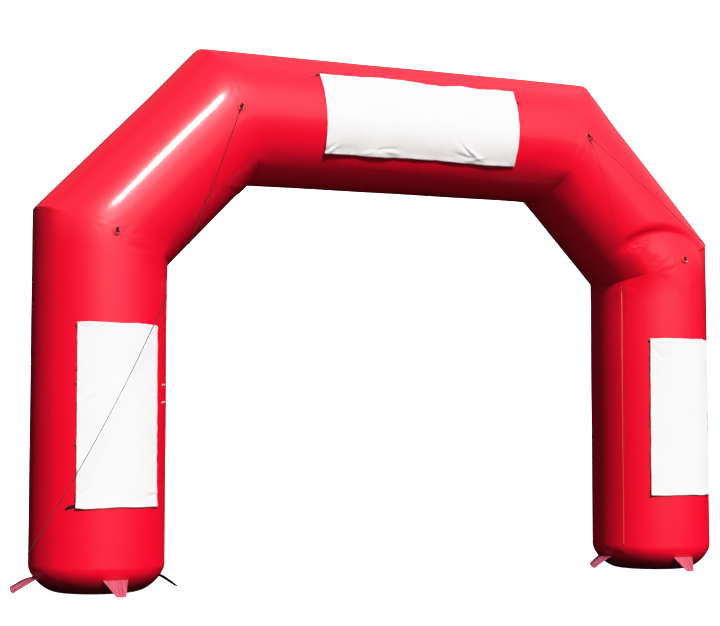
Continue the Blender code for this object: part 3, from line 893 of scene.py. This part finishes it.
def settled_rise(name, skin, outward):
    """The puckers that the simulation leaves beside the welds, on every row and column."""
    rows, columns = skin.shape[:2]
    places = np.linalg.norm(np.diff(skin[:, 0], axis=0), axis=1).cumsum()
    places = np.concatenate([[0.0], places])
    skip = max(1, round(SIM_CELL / ROW_STEPS[name]))
    middle = range(len(NEAR_MITRE) - 1 + skip, rows - len(NEAR_MITRE), skip)
    picked = sorted({*SIM_NEAR, *middle, *(rows - 1 - row for row in SIM_NEAR)})
    start = skin[picked][:, ::SIM_COLUMN_SKIP]
    moved = simulate(name, start) - start
    rise = (moved * outward[picked][:, ::SIM_COLUMN_SKIP]).sum(-1)
    # the even swelling and the sway of each row are left out: the CAD's size holds
    waves = np.fft.rfft(rise, axis=1)
    waves[:, :2] = 0.0
    rise = np.fft.irfft(waves, columns, axis=1) * SIM_COLUMN_SKIP
    rise = SETTLED_CAP * np.tanh(rise / SETTLED_CAP)
    marks = places[picked]
    slopes = np.gradient(rise, marks, axis=0)
    at = np.clip(np.searchsorted(marks, places, "right") - 1, 0, len(marks) - 2)
    step = (marks[at + 1] - marks[at])[:, None]
    t = (places - marks[at])[:, None] / step
    ends = rise[at] * (1 + 2 * t) * (1 - t) ** 2 + rise[at + 1] * t**2 * (3 - 2 * t)
    ends = ends + step * (slopes[at] * t * (1 - t) ** 2 - slopes[at + 1] * t**2 * (1 - t))
    from_weld = np.minimum(places, places[-1] - places)
    return ends * smoothstep(0.0, SETTLED_FADE, from_weld)[:, None]


def tube_points(section):
    """The section's surface, row by row along it."""
    name = SECTIONS[section]
    run = RUNS[section]
    start = CORNERS[section]
    length = float(np.linalg.norm(CORNERS[section + 1] - start))
    turns = TURNS
    normals = radial(section, turns)
    spoke = normals * TUBE_R
    first = -(spoke @ MITRES[section]) / (run @ MITRES[section])
    last = length - (spoke @ MITRES[section + 1]) / (run @ MITRES[section + 1])
    rows = section_rows(name, length)
    along = first[None] * (1 - rows[:, 1:2]) + last[None] * rows[:, 1:2] + rows[:, :1] + rows[:, 2:]
    points = start + spoke[None] + along[..., None] * run
    outward = np.broadcast_to(normals, points.shape).copy()
    from_first = along - first[None]
    from_last = last[None] - along
    ease = np.zeros_like(points)
    if section > 0:
        ease += eased_corner(section, section - 1, -run, turns, from_first)
    if section < 4:
        ease += eased_corner(section, section + 1, run, turns, from_last)
    near = np.minimum(from_first, from_last)
    rise = TAPE_RISE * (1 - smoothstep(TAPE_HALF - 0.002, TAPE_HALF + 0.002, near))
    rise -= WELD_GROOVE * bell(near, WELD_GROOVE_W)
    pucker = np.sin(31 * turns + 2.2 * np.sin(5 * turns))
    pucker = pucker * (0.6 + 0.4 * np.sin(3 * turns + 1.0))
    rise += PUCKER_RISE * pucker[None] * bell(near - PUCKER_AT, PUCKER_W)
    rise += SWELL_RISE * wave_field(points, 11, SWELL_SIZE)
    if name.startswith("right"):
        rise -= fold_depth(points + ease) + crease_depth(points + ease)
    if name == "right_leg":
        rise -= furrow_depth(turns, points[..., 2])
    skin = shaped(points + ease + outward * rise[..., None])
    return skin + outward * settled_rise(name, skin, outward)[..., None]


def build_tubes():
    for section, name in enumerate(SECTIONS):
        points = tube_points(section)
        # painted shade for the right elbow's furrow, carried to the red material as crease values
        dark = np.zeros(points.shape[:2])
        if name.startswith("right"):
            dark = furrow_painted_shade(points)
        add_skin(name, points, {"crease": np.append(dark.ravel(), (0.0, 0.0))})


# ---------------------------------------------------------------- bases
BASE_ROWS = 36
FOOT_ROWS = 7
BASE_PUCKER = 0.0022  # puckers under the base's weld: their rise, place and breadth
BASE_PUCKER_Z = 0.155
BASE_PUCKER_W = 0.035
SEAM_TURN = 62
SEAM_HALF = 0.0042
SEAM_RISE = 0.0011
SEAM_TOP = 2.47
SEAM_ROWS = 150


def round_leg(side, radius, angle, height):
    """Points round a leg's axis, at angles from its front towards +X."""
    across = side * LEG_X + radius * np.sin(angle)
    return together(across, -radius * np.cos(angle), height)


def build_bases():
    power = 2 / BASE_POWER
    angle = pi / 2 * np.linspace(0, 1, BASE_ROWS + 1)
    inner = np.linspace(0.02, FOOT_R, FOOT_ROWS + 1)[:-1]
    reach = FOOT_R + (TUBE_R - FOOT_R) * np.sin(angle) ** power
    reach = np.concatenate([inner, reach])[:, None]
    height = BASE_H * (1 - np.cos(angle) ** power)
    height = np.concatenate([np.zeros(FOOT_ROWS), height])[:, None]
    pucker = np.sin(23 * TURNS + 1.7 * np.sin(4 * TURNS)) * (0.6 + 0.4 * np.sin(3 * TURNS))
    rise = BASE_PUCKER * pucker * bell(height - BASE_PUCKER_Z, BASE_PUCKER_W)
    tape = 1 - smoothstep(TAPE_HALF, TAPE_HALF + 0.006, BASE_H - height)
    radius = reach + (rise + TAPE_RISE * tape) * smoothstep(0.0, 0.03, height)
    for word, side in (("left", -1), ("right", 1)):
        points = round_leg(side, radius, TURNS, np.minimum(height, BASE_H - GAP / 2))
        add_skin(word + "_base", points)


def build_seams():
    """The welded tape up each leg, on the inner side of its front."""
    across = np.linspace(-1, 1, 9)
    height = np.linspace(BASE_H + 0.012, SEAM_TOP, SEAM_ROWS)[:, None]
    radius = TUBE_R + 0.0004 + SEAM_RISE * (1 - across**2) ** 0.5
    for word, side in (("left", -1), ("right", 1)):
        turns = radians(-SEAM_TURN * side) + across * SEAM_HALF / TUBE_R
        sway = 0.0012 * np.sin(height * 3.1 + side)
        points = round_leg(side, radius, turns + sway / TUBE_R, height)
        mesh = grid_mesh(word + "_leg_seam", points)
        seam = add_piece(word + "_leg_seam", mesh, "seam")
        thicken(seam, 0.0008, -1.0)


build_tubes()
build_bases()
build_seams()


# ---------------------------------------------------------------- cloth on the tubes
def on_tube(tube, wide, high, off):
    """Points on a tube's front, at distances off its surface."""
    wide, high, off = np.broadcast_arrays(wide, high, off)
    radius = TUBE_R + off
    if tube == "top_beam":
        angle = high / TUBE_R
        up = UPPER_Z + radius * np.sin(angle)
        return shaped(np.stack((wide, -radius * np.cos(angle), up), -1))
    return round_leg(1 if tube == "right_leg" else -1, radius, wide / TUBE_R, high)


# Each banner's edges, how far its lower corners lean, and how its upper edge droops.
Banner = namedtuple("Banner", "name tube left right bottom top leans droop wave flat")
BANNERS = (
    Banner(
        "top_banner", "top_beam", -0.865, 0.880, -0.299, 0.344,
        (0.032, -0.008), 0.0, 0.003, (1.745, 0.646),
    ),
    Banner(
        "left_banner", "left_leg", -0.306, 0.346, 0.636, 1.976,
        (0.005, 0.010), 0.016, 0.003, (0.652, 1.340),
    ),
    Banner(
        "right_banner", "right_leg", -0.299, 0.346, 0.638, 1.966,
        (-0.002, 0.004), 0.006, 0.002, (0.645, 1.328),
    ),
)

# The top banner's upper edge: places along it and how far each is pulled up.
SCALLOPS = (0.0, 0.20, 0.29, 0.42, 0.52, 0.63, 0.73, 0.81, 0.91, 1.0)
SCALLOP_RISE = (0.0, 0.0, 0.015, 0.019, -0.003, -0.009, 0.009, -0.012, 0.001, 0.0)

# Creases in the banners: where, how long and broad, how proud (or deep), how turned.
Crease = namedtuple("Crease", "wide high length breadth rise turn")
CREASES = {
    "top_banner": (
        (-0.79, -0.25, 0.20, 0.055, 0.006, 40),
        (-0.805, -0.265, 0.10, 0.012, -0.007, 42),
        (-0.775, -0.262, 0.09, 0.012, 0.006, 36),
        (-0.36, -0.27, 0.30, 0.050, 0.005, 4),
        (-0.33, -0.238, 0.22, 0.014, -0.007, 6),
        (-0.27, -0.252, 0.16, 0.012, 0.006, -8),
        (-0.44, -0.262, 0.12, 0.012, 0.005, 20),
        (0.42, -0.22, 0.30, 0.055, 0.006, -28),
        (0.39, -0.185, 0.15, 0.012, -0.007, -38),
        (0.47, -0.215, 0.17, 0.013, 0.007, -30),
        (0.40, -0.245, 0.15, 0.012, -0.006, -12),
        (0.52, -0.255, 0.14, 0.012, 0.005, 14),
        (0.60, 0.30, 0.34, 0.060, 0.003, 6),
        (0.02, 0.02, 1.10, 0.090, -0.002, 2),
        (-0.62, 0.30, 0.18, 0.016, 0.003, -6),
        (0.14, 0.315, 0.20, 0.014, -0.004, 3),
        (0.44, 0.318, 0.16, 0.014, 0.004, -4),
    ),
    "left_banner": (
        (-0.25, 1.50, 0.24, 0.055, 0.004, 70),
        (-0.255, 1.49, 0.16, 0.014, -0.006, 52),
        (-0.205, 1.455, 0.14, 0.014, 0.005, 38),
        (-0.24, 0.74, 0.22, 0.055, 0.005, 60),
        (-0.246, 0.752, 0.12, 0.014, -0.005, 35),
        (0.28, 0.72, 0.26, 0.055, 0.004, -55),
        (0.285, 0.715, 0.12, 0.013, -0.006, 8),
        (0.29, 0.745, 0.10, 0.012, 0.004, -12),
        (0.24, 1.80, 0.30, 0.030, 0.003, 60),
    ),
    "right_banner": (
        (-0.24, 0.80, 0.26, 0.055, 0.003, 62),
        (0.26, 1.84, 0.24, 0.055, 0.003, 48),
        (-0.25, 1.86, 0.16, 0.014, -0.004, -50),
        (0.02, 1.25, 0.60, 0.060, -0.002, 84),
    ),
}


def crease_rise(banner, wide, high):
    rise = np.zeros(np.broadcast(wide, high).shape)
    for crease in map(Crease._make, CREASES[banner]):
        turn = radians(crease.turn)
        dx = wide - crease.wide
        dy = high - crease.high
        along = (dx * cos(turn) + dy * sin(turn)) / (crease.length / 2)
        across = (dy * cos(turn) - dx * sin(turn)) / crease.breadth
        rise = rise + crease.rise * np.exp(-along**2 - across**2)
    return rise


def build_banners():
    for number, banner in enumerate(BANNERS):
        columns = round(banner.flat[0] / BANNER_CELL)
        rows = round(banner.flat[1] / BANNER_CELL)
        u = np.linspace(0, 1, columns + 1)[None]
        v = np.linspace(0, 1, rows + 1)[:, None]
        left = banner.left + banner.leans[0] * (1 - v)
        right = banner.right + banner.leans[1] * (1 - v)
        top = banner.top - banner.droop * u**4
        wide = left + (right - left) * u
        high = banner.bottom + (top - banner.bottom) * v
        high = high + banner.wave * np.sin(9 * u) * (2 * v - 1)
        if banner.tube == "top_beam":
            high = high + np.interp(u, SCALLOPS, SCALLOP_RISE) * v**6
        at = together(u * banner.flat[0], v * banner.flat[1])
        x, y = at[..., 0], at[..., 1]
        sides = np.stack((x, banner.flat[0] - x, y, banner.flat[1] - y))
        edge = sides.min(0)
        run = x + y
        flat3 = np.concatenate([at, np.full(at.shape[:2] + (1,), number * 7.0)], -1)
        # the edges stand off the tube between their ties, and hardly at them
        loose = 0.55 + 0.45 * np.sin(run * tau / TIE_PITCH + number)
        off = BANNER_OFF + crease_rise(banner.name, wide, high)
        for side, most in zip(sides, EDGE_LIFTS):
            off = off + most * (0.45 + 0.55 * loose) * np.exp(-side / EDGE_LIFT_W)
        off = off + HEM_RISE * (1 - smoothstep(HEM_W - 0.003, HEM_W + 0.002, edge))
        ripple = wave_field(flat3, 5, 0.075, 5) * np.exp(-edge / 0.03) * EDGE_RIPPLE
        off = off + ripple + CLOTH_SWELL * wave_field(flat3, 6, 0.30, 5)
        off = np.maximum(off, LEAST_OFF)
        outline = wave_field(flat3, 8, 0.14, 4) * OUTLINE_WAVE * np.exp(-edge / 0.02)
        points = on_tube(banner.tube, wide + outline, high + outline, off)
        values = {"edge": edge, "run": run}
        cloth = (banner.name, "_cloth", "white_cloth", points, BANNER_T, at, values)
        add_sheet(*cloth, flat=banner.flat, held="stretched", rests_on=[banner.tube])


build_banners()

# ---------------------------------------------------------------- ties and keepers
TIE_FIELDS = "name tube wide high turn length breadth bend curl"
Tie = namedtuple("Tie", TIE_FIELDS, defaults=(0.0, 0.003))
TIES = (
    Tie("top_tie_1", "top_beam", -0.858, 0.345, 212, 0.050, 0.014, 0.004, 0.006),
    Tie("top_tie_2", "top_beam", -0.835, 0.355, 90, 0.026, 0.010),
    Tie("top_tie_3", "top_beam", 0.850, 0.333, 90, 0.024, 0.010),
    Tie("top_tie_4", "top_beam", 0.874, 0.268, -48, 0.055, 0.012, 0.004, 0.005),
    Tie("left_tie_1", "left_leg", -0.298, 1.947, 180, 0.024, 0.022),
    Tie("left_tie_2", "left_leg", -0.298, 1.628, 180, 0.020, 0.012),
    Tie("left_tie_3", "left_leg", -0.297, 1.528, 180, 0.022, 0.014),
    Tie("left_tie_4", "left_leg", -0.296, 1.089, 180, 0.024, 0.012),
    Tie("left_tie_5", "left_leg", -0.294, 0.690, 180, 0.022, 0.012),
    Tie("left_tie_6", "left_leg", -0.294, 0.650, 196, 0.096, 0.020, 0.010, 0.008),
    Tie("right_tie_1", "right_leg", -0.291, 1.940, 180, 0.026, 0.018),
    Tie("right_tie_2", "right_leg", -0.293, 1.223, 180, 0.020, 0.012),
    Tie("right_tie_3", "right_leg", -0.289, 0.902, 180, 0.020, 0.012),
    Tie("right_tie_4", "right_leg", -0.293, 0.666, 180, 0.022, 0.012),
    Tie("keeper_upper", "left_leg", 0.440, 1.530, 0, 0.180, 0.016, 0.0, 0.004),
    Tie("keeper_lower", "left_leg", 0.435, 1.400, 0, 0.190, 0.016, 0.0, 0.004),
)
TIE_OFF = 0.0016
TIE_T = 0.0013


def build_ties():
    for tie in TIES:
        cells = max(8, round(tie.length / 0.006))
        share = np.linspace(0, 1, cells + 1)[None]
        across = np.linspace(-0.5, 0.5, 7)[:, None]
        turn = radians(tie.turn)
        run = share * tie.length
        side = across * tie.breadth - tie.bend * np.sin(pi * share)
        wide = tie.wide + run * cos(turn) - side * sin(turn)
        high = tie.high + run * sin(turn) + side * cos(turn)
        off = TIE_OFF + tie.curl * np.sin(pi * share) ** 2 * (1 - across**2)
        off = off + 0.0007 * np.cos(tau * across) * np.sin(pi * share)
        points = on_tube(tie.tube, wide, high, off)
        uv = together(run, across * tie.breadth)
        # painted light along the strap's raised middle and shade towards its edges, read by the
        # keepers' pink material
        fold = np.broadcast_to(0.5 + 0.5 * np.cos(tau * across), points.shape[:2])
        look = "keeper_pvc" if tie.name.startswith("keeper") else "black_webbing"
        strap = (tie.name, "_strap", look, points, TIE_T, uv, {"fold": fold})
        flat = (tie.length, tie.breadth)
        add_sheet(*strap, flat=flat, held="stretched", rests_on=[tie.tube])


build_ties()

# ---------------------------------------------------------------- anchor tabs
TAB_ROOT_Z = 0.115
TAB_ROOT_W = 0.19
TAB_TIP_W = 0.07
TAB_TIP_Z = 0.0045
TAB_T = 0.0018
TAB_FLAT = (0.19, 0.20)
TAB_AREA = 0.0245
PLEAT_RISE = 0.0075
Tab = namedtuple("Tab", "name side heading reach skew")
TABS = (
    Tab("left_tab_front", -1, 0, 0.60, 0.004),
    Tab("left_tab_inner", -1, 90, 0.63, -0.006),
    Tab("left_tab_back", -1, 180, 0.60, 0.003),
    Tab("left_tab_outer", -1, 270, 0.64, 0.006),
    Tab("right_tab_front", 1, 0, 0.585, -0.012),
    Tab("right_tab_outer", 1, 108, 0.62, -0.004),
    Tab("right_tab_back", 1, 180, 0.60, -0.004),
    Tab("right_tab_inner", 1, 270, 0.60, -0.010),
)


def base_radius(height):
    drop = (1 - height / BASE_H) ** (BASE_POWER / 2)
    return FOOT_R + (TUBE_R - FOOT_R) * sin(acos(drop)) ** (2 / BASE_POWER)


# How far a tab's back edge is twisted up, half way along and at its tip.
TWIST = {"left_tab_outer": (0.028, 0.050), "right_tab_inner": (0.022, 0.040)}
# tabs turned from the light: drawn in the painted-shade copy of the tab colours, with a broader
# painted black edge
SHADED_TABS = ("left_tab_outer", "right_tab_inner")
# painted shade: these tabs are drawn all in black webbing for the shadowed undersides that show
SHADED_BLACK_TABS = ("left_tab_inner", "left_tab_back", "right_tab_outer", "right_tab_back")


def build_tabs():
    for number, tab in enumerate(TABS):
        u = np.linspace(-1, 1, 65)[None]
        w = np.linspace(0, 1, 33)[:, None]
        half = (TAB_ROOT_W + (TAB_TIP_W - TAB_ROOT_W) * w) / 2
        side = u * half + tab.skew * w
        root = np.sqrt(base_radius(TAB_ROOT_Z) ** 2 - (u * TAB_ROOT_W / 2) ** 2) + 0.0018
        out = root + (tab.reach - root) * w
        height = TAB_ROOT_Z + (TAB_TIP_Z - TAB_ROOT_Z) * w
        # pleats run down the tab, deepest in its middle and pressed flat at its tip
        phase = 1.3 * number
        pleat = np.cos(tau * (1.5 * u + 0.12 * np.sin(3 * u + phase)))
        pleat = 0.58 * pleat + 0.42 * np.cos(tau * 3.4 * u + phase)
        window = np.sin(pi * np.clip(w, 0, 1)) ** 0.7
        window = np.maximum(window, 0.45 * w)
        rise = PLEAT_RISE * pleat * window + 0.004 * np.abs(u) ** 6 * window + 0.003 * window
        back = -1 if tab.heading > 180 else 1
        twist = np.interp(w, (0.0, 0.5, 1.0), (0.0, *TWIST.get(tab.name, (0.0, 0.0))))
        rise = rise + twist * (1 + back * u) / 2
        height = np.maximum(height + rise, 0.0018)
        out = out + 0.35 * np.minimum(rise, 0.01)
        tip = 0.010 * (1 - u**2) * w**6
        points = together(side, -(out + tip), height)
        spin = radians(tab.heading)
        x, y, z = np.moveaxis(points, -1, 0)
        turned_x = x * cos(spin) - y * sin(spin) + LEG_X * tab.side
        turned = np.stack((turned_x, x * sin(spin) + y * cos(spin), z), -1)
        uv = together(side, w * 0.16)
        # fold paints light on the pleats' ridges and shade in their hollows; rim paints black shade
        # along the back edge
        fold = np.clip(0.5 + 0.5 * pleat * np.sqrt(window), 0, 1)
        bound = (0.50, 0.62) if tab.name in SHADED_TABS else (0.74, 0.86)
        rim = smoothstep(*bound, back * u) if tab.heading else np.zeros_like(u)
        rim = np.broadcast_to(rim, fold.shape)
        look = "worn_tab_pvc" if tab.name in SHADED_TABS else "tab_pvc"
        if tab.name in SHADED_BLACK_TABS:
            look = "black_webbing"
        flap = (tab.name, "_strap", look, turned, TAB_T, uv, {"fold": fold, "rim": rim})
        base = tab.name.split("_")[0] + "_base"
        facts = {"flat": TAB_FLAT, "held": "stretched", "rests_on": [base], "area": TAB_AREA}
        add_sheet(*flap, **facts)


build_tabs()


# ---------------------------------------------------------------- D-ring fittings
def ring_place(ring):
    turn = Matrix.Rotation(radians(ring.turn), 4, "Y")
    return Matrix.Translation((ring.x, -TUBE_R, ring.z)) @ turn


def placed(points, matrix):
    shape = points.shape
    flat = points.reshape(-1, 3) @ np.array(matrix.to_3x3()).T + np.array(matrix.translation)
    return flat.reshape(shape)


def strap_line():
    """The webbing seen from its side: down against the patch, round the bar and up."""
    middle = WRAP_R - STRAP_T / 2
    points = [(0.0, -middle, STRAP_TOP), (0.0, -middle, 0.018), (0.0, -middle, 0.006)]
    for step in range(13):
        angle = pi * (1 + step / 12)
        points.append((0.0, middle * cos(angle), middle * sin(angle)))
    points += [(0.0, middle * 0.9, 0.006), (0.0, middle * 0.1, 0.013)]
    doubled = -middle + STRAP_T + 0.0002
    points += [(0.0, doubled, 0.019), (0.0, doubled, STRAP_TOP - 0.002)]
    return smooth_route([Vector(point) for point in points], 72)


# A welded patch: a disc that is thinner towards its rim.
PATCH_REACH = (0.001, 0.006, 0.012, 0.018, 0.024, 0.029, 0.032, 0.0334, 0.034, 0.0338)
PATCH_TOP = (1, 1, 1, 1, 1, 1, 0.96, 0.8, 0.4, 0.06)


def build_fittings():
    turns = tau * np.arange(64)[None] / 64
    reach = np.array(PATCH_REACH)[:, None]
    top = np.array(PATCH_TOP)[:, None] * PAD_T
    top = top + 0.0002 * np.cos(9 * turns) * (reach > 0.02)
    disc = (reach * np.cos(turns), -top - GAP, reach * np.sin(turns))
    patch = together(*disc)
    line = strap_line()
    across = np.linspace(-0.5, 0.5, 9) * STRAP_W
    for ring in RINGS:
        place = ring_place(ring)
        name = ring.name + "_patch"
        mesh = grid_mesh(name, placed(patch, place), closed=True, caps=True)
        add_piece(name, mesh, "red_pvc", [ring.name + "_pad"])
        cover = np.zeros((len(line), 9, 3))
        cover[..., 0] = across[None]
        cover[..., 1] = -line[:, 1:2] - BAR_OFF
        cover[..., 2] = line[:, 2:3]
        run = np.arange(len(line)) / len(line) * line_length(line)
        uv = together(across[None], run[:, None])
        name = ring.name + "_webbing"
        mesh = grid_mesh(name, placed(cover, place), uv=uv)
        strap = add_piece(name, mesh, "black_webbing", [ring.name + "_strap"])
        thicken(strap, STRAP_T)


build_fittings()
for node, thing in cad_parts.items():
    if node.endswith("_ring"):
        for place in thing.material_slots:
            place.material = LOOKS["steel"]


# ---------------------------------------------------------------- floor, light, world
def build_floor():
    size = 60.0
    mesh = bpy.data.meshes.new("floor")
    corners = [(-size, -size, 0), (size, -size, 0), (size, size, 0), (-size, size, 0)]
    mesh.from_pydata(corners, [], [(0, 1, 2, 3)])
    floor = bpy.data.objects.new("floor", mesh)
    bpy.context.scene.collection.objects.link(floor)
    mesh.materials.append(LOOKS["floor"])
    floor.location.z = -0.002  # under the bases' own faces
    # a dark studio ground for the arch's reflections and bounce, pale for the camera
    floor.visible_diffuse = False
    floor.visible_glossy = False
    return floor


# Distant lights; azimuth and elevation in degrees, from the front towards +X.
Sun = namedtuple("Sun", "name azimuth elevation strength angle unseen_by")
SUNS = (
    Sun("key", 1.0, 38.0, 5.3, 6.0, "glossy"),
    Sun("glint", -8.6, 37.8, 2.2, 5.0, "diffuse"),
    Sun("haze", -3.0, 28.0, 0.45, 26.0, "diffuse"),
    Sun("back_fill", 150.0, 40.0, 1.0, 60.0, "glossy"),
    Sun("floor_wash", 20.0, 80.0, 5.0, 150.0, None),
)


def build_lights(floor):
    """The wash falls on the floor alone, and the others on everything but the floor."""
    for sun in SUNS:
        data = bpy.data.lights.new(sun.name, "SUN")
        data.energy = sun.strength
        data.angle = radians(sun.angle)
        light = bpy.data.objects.new(sun.name, data)
        bpy.context.scene.collection.objects.link(light)
        a, e = radians(sun.azimuth), radians(sun.elevation)
        level = cos(e)
        source = Vector((sin(a) * level, -cos(a) * level, sin(e)))
        light.rotation_mode = "QUATERNION"
        light.rotation_quaternion = source.to_track_quat("Z", "Y")
        light.location = source * 12
        group = bpy.data.collections.new(sun.name + "_receivers")
        light.light_linking.receiver_collection = group
        group.objects.link(floor)
        if sun.name == "haze":
            group.objects.link(bpy.data.objects["right_leg_skin"])
        if sun.unseen_by:
            setattr(light, "visible_" + sun.unseen_by, False)
            for member in group.collection_objects:
                member.light_linking.link_state = "EXCLUDE"


# Brightness of the reflected sky: by (1 + sine of the height) / 2, and by
# (1 + cosine of the angle from its brightest side) / 2.
BY_HEIGHT = (
    (0.0, 0.0),
    (0.30, 0.015),
    (0.44, 0.15),
    (0.485, 0.24),
    (0.545, 0.85),
    (0.62, 1.0),
    (0.80, 0.88),
    (0.92, 0.34),
    (1.0, 0.16),
)
BY_SIDE = ((0.0, 0.0), (0.62, 0.01), (0.80, 0.14), (0.92, 0.50), (1.0, 1.0))
# The overhead sky, by the sine of the height, and how much of it is left at each side.
OVERHEAD = ((0.05, 0.0), (0.35, 0.16), (0.60, 0.30), (0.95, 1.0))
BY_BACK = ((0.05, 0.25), (0.20, 0.40), (0.38, 1.0))
BRIGHTEST_SIDE = radians(8)  # from the front towards +X
SKY_GLOSS = 2.3
SKY_FILL = 0.075
SKY_TINT = (0.93, 0.96, 1.10, 1.0)


class Sky(Nodes):
    """The studio's background nodes."""

    def curve(self, source, stops):
        """A grey level that runs smoothly through (position, level) stops, 0 to 1."""
        ramp = self.node("ValToRGB", [(0, source)])
        ramp.color_ramp.interpolation = "EASE"
        while len(ramp.color_ramp.elements) < len(stops):
            ramp.color_ramp.elements.new(0.5)
        for element, (position, level) in zip(ramp.color_ramp.elements, stops):
            element.position = position
            element.color = (level, level, level, 1.0)
        return ramp.outputs[0]


def build_world():
    """White behind the arch; a bright front sky and dark ground in its reflections."""
    world = bpy.data.worlds.new("studio")
    bpy.context.scene.world = world
    world.use_nodes = True
    world.node_tree.nodes.clear()
    sky = Sky(world.node_tree)
    where = sky.node("TexCoord").outputs["Generated"]
    across, along, height = sky.node("SeparateXYZ", [(0, where)]).outputs
    level = sky.node("CombineXYZ", [(0, across), (1, along)]).outputs[0]
    flat = sky.node("VectorMath", [(0, level)], operation="NORMALIZE").outputs[0]
    facing = sky.node("VectorMath", [(0, flat)], operation="DOT_PRODUCT")
    bright = (sin(BRIGHTEST_SIDE), -cos(BRIGHTEST_SIDE), 0.0)
    facing.inputs[1].default_value = bright
    turned = sky.math("MULTIPLY_ADD", facing.outputs["Value"], 0.5, 0.5)
    by_height = sky.curve(sky.math("MULTIPLY_ADD", height, 0.5, 0.5), BY_HEIGHT)
    side = sky.curve(turned, BY_SIDE)
    overhead = sky.times(sky.curve(height, OVERHEAD), sky.curve(turned, BY_BACK))
    side = sky.math("MULTIPLY_ADD", sky.math("SUBTRACT", 1.0, side), overhead, side)
    rays = sky.node("LightPath").outputs
    mirrored = sky.math("SUBTRACT", 1.0, rays["Is Diffuse Ray"])
    gloss = sky.times(sky.times(sky.times(by_height, side), SKY_GLOSS), mirrored)
    fill = sky.times(rays["Is Diffuse Ray"], SKY_FILL)
    seen = sky.node("Background", Color=(1.0, 1.0, 1.0, 1.0), Strength=WHITE)
    lit = sky.node("Background", Color=SKY_TINT)
    sky.feed(lit.inputs["Strength"], sky.math("ADD", gloss, fill))
    parts = [(0, rays["Is Camera Ray"]), (1, lit.outputs[0]), (2, seen.outputs[0])]
    choice = sky.node("MixShader", parts)
    sky.node("OutputWorld", [("Surface", choice.outputs[0])])


# A photograph's soft shoulder: how bright light is drawn, up to white.
WHITE = 2.4
TONES = ((0.0, 0.0), (0.50, 0.52), (0.80, 0.86), (1.10, 0.965), (1.6, 0.99), (WHITE, 1.0))


def draw_tones():
    view = bpy.context.scene.view_settings
    view.view_transform = "Standard"
    view.look = "None"
    view.use_curve_mapping = True
    mapping = view.curve_mapping
    mapping.white_level = (WHITE, WHITE, WHITE)
    tones = mapping.curves[3].points
    for place, (light, drawn) in enumerate(TONES):
        if place < 2:
            tones[place].location = (light / WHITE, drawn)
        else:
            tones.new(light / WHITE, drawn)
    mapping.update()


build_lights(build_floor())
build_world()
draw_tones()
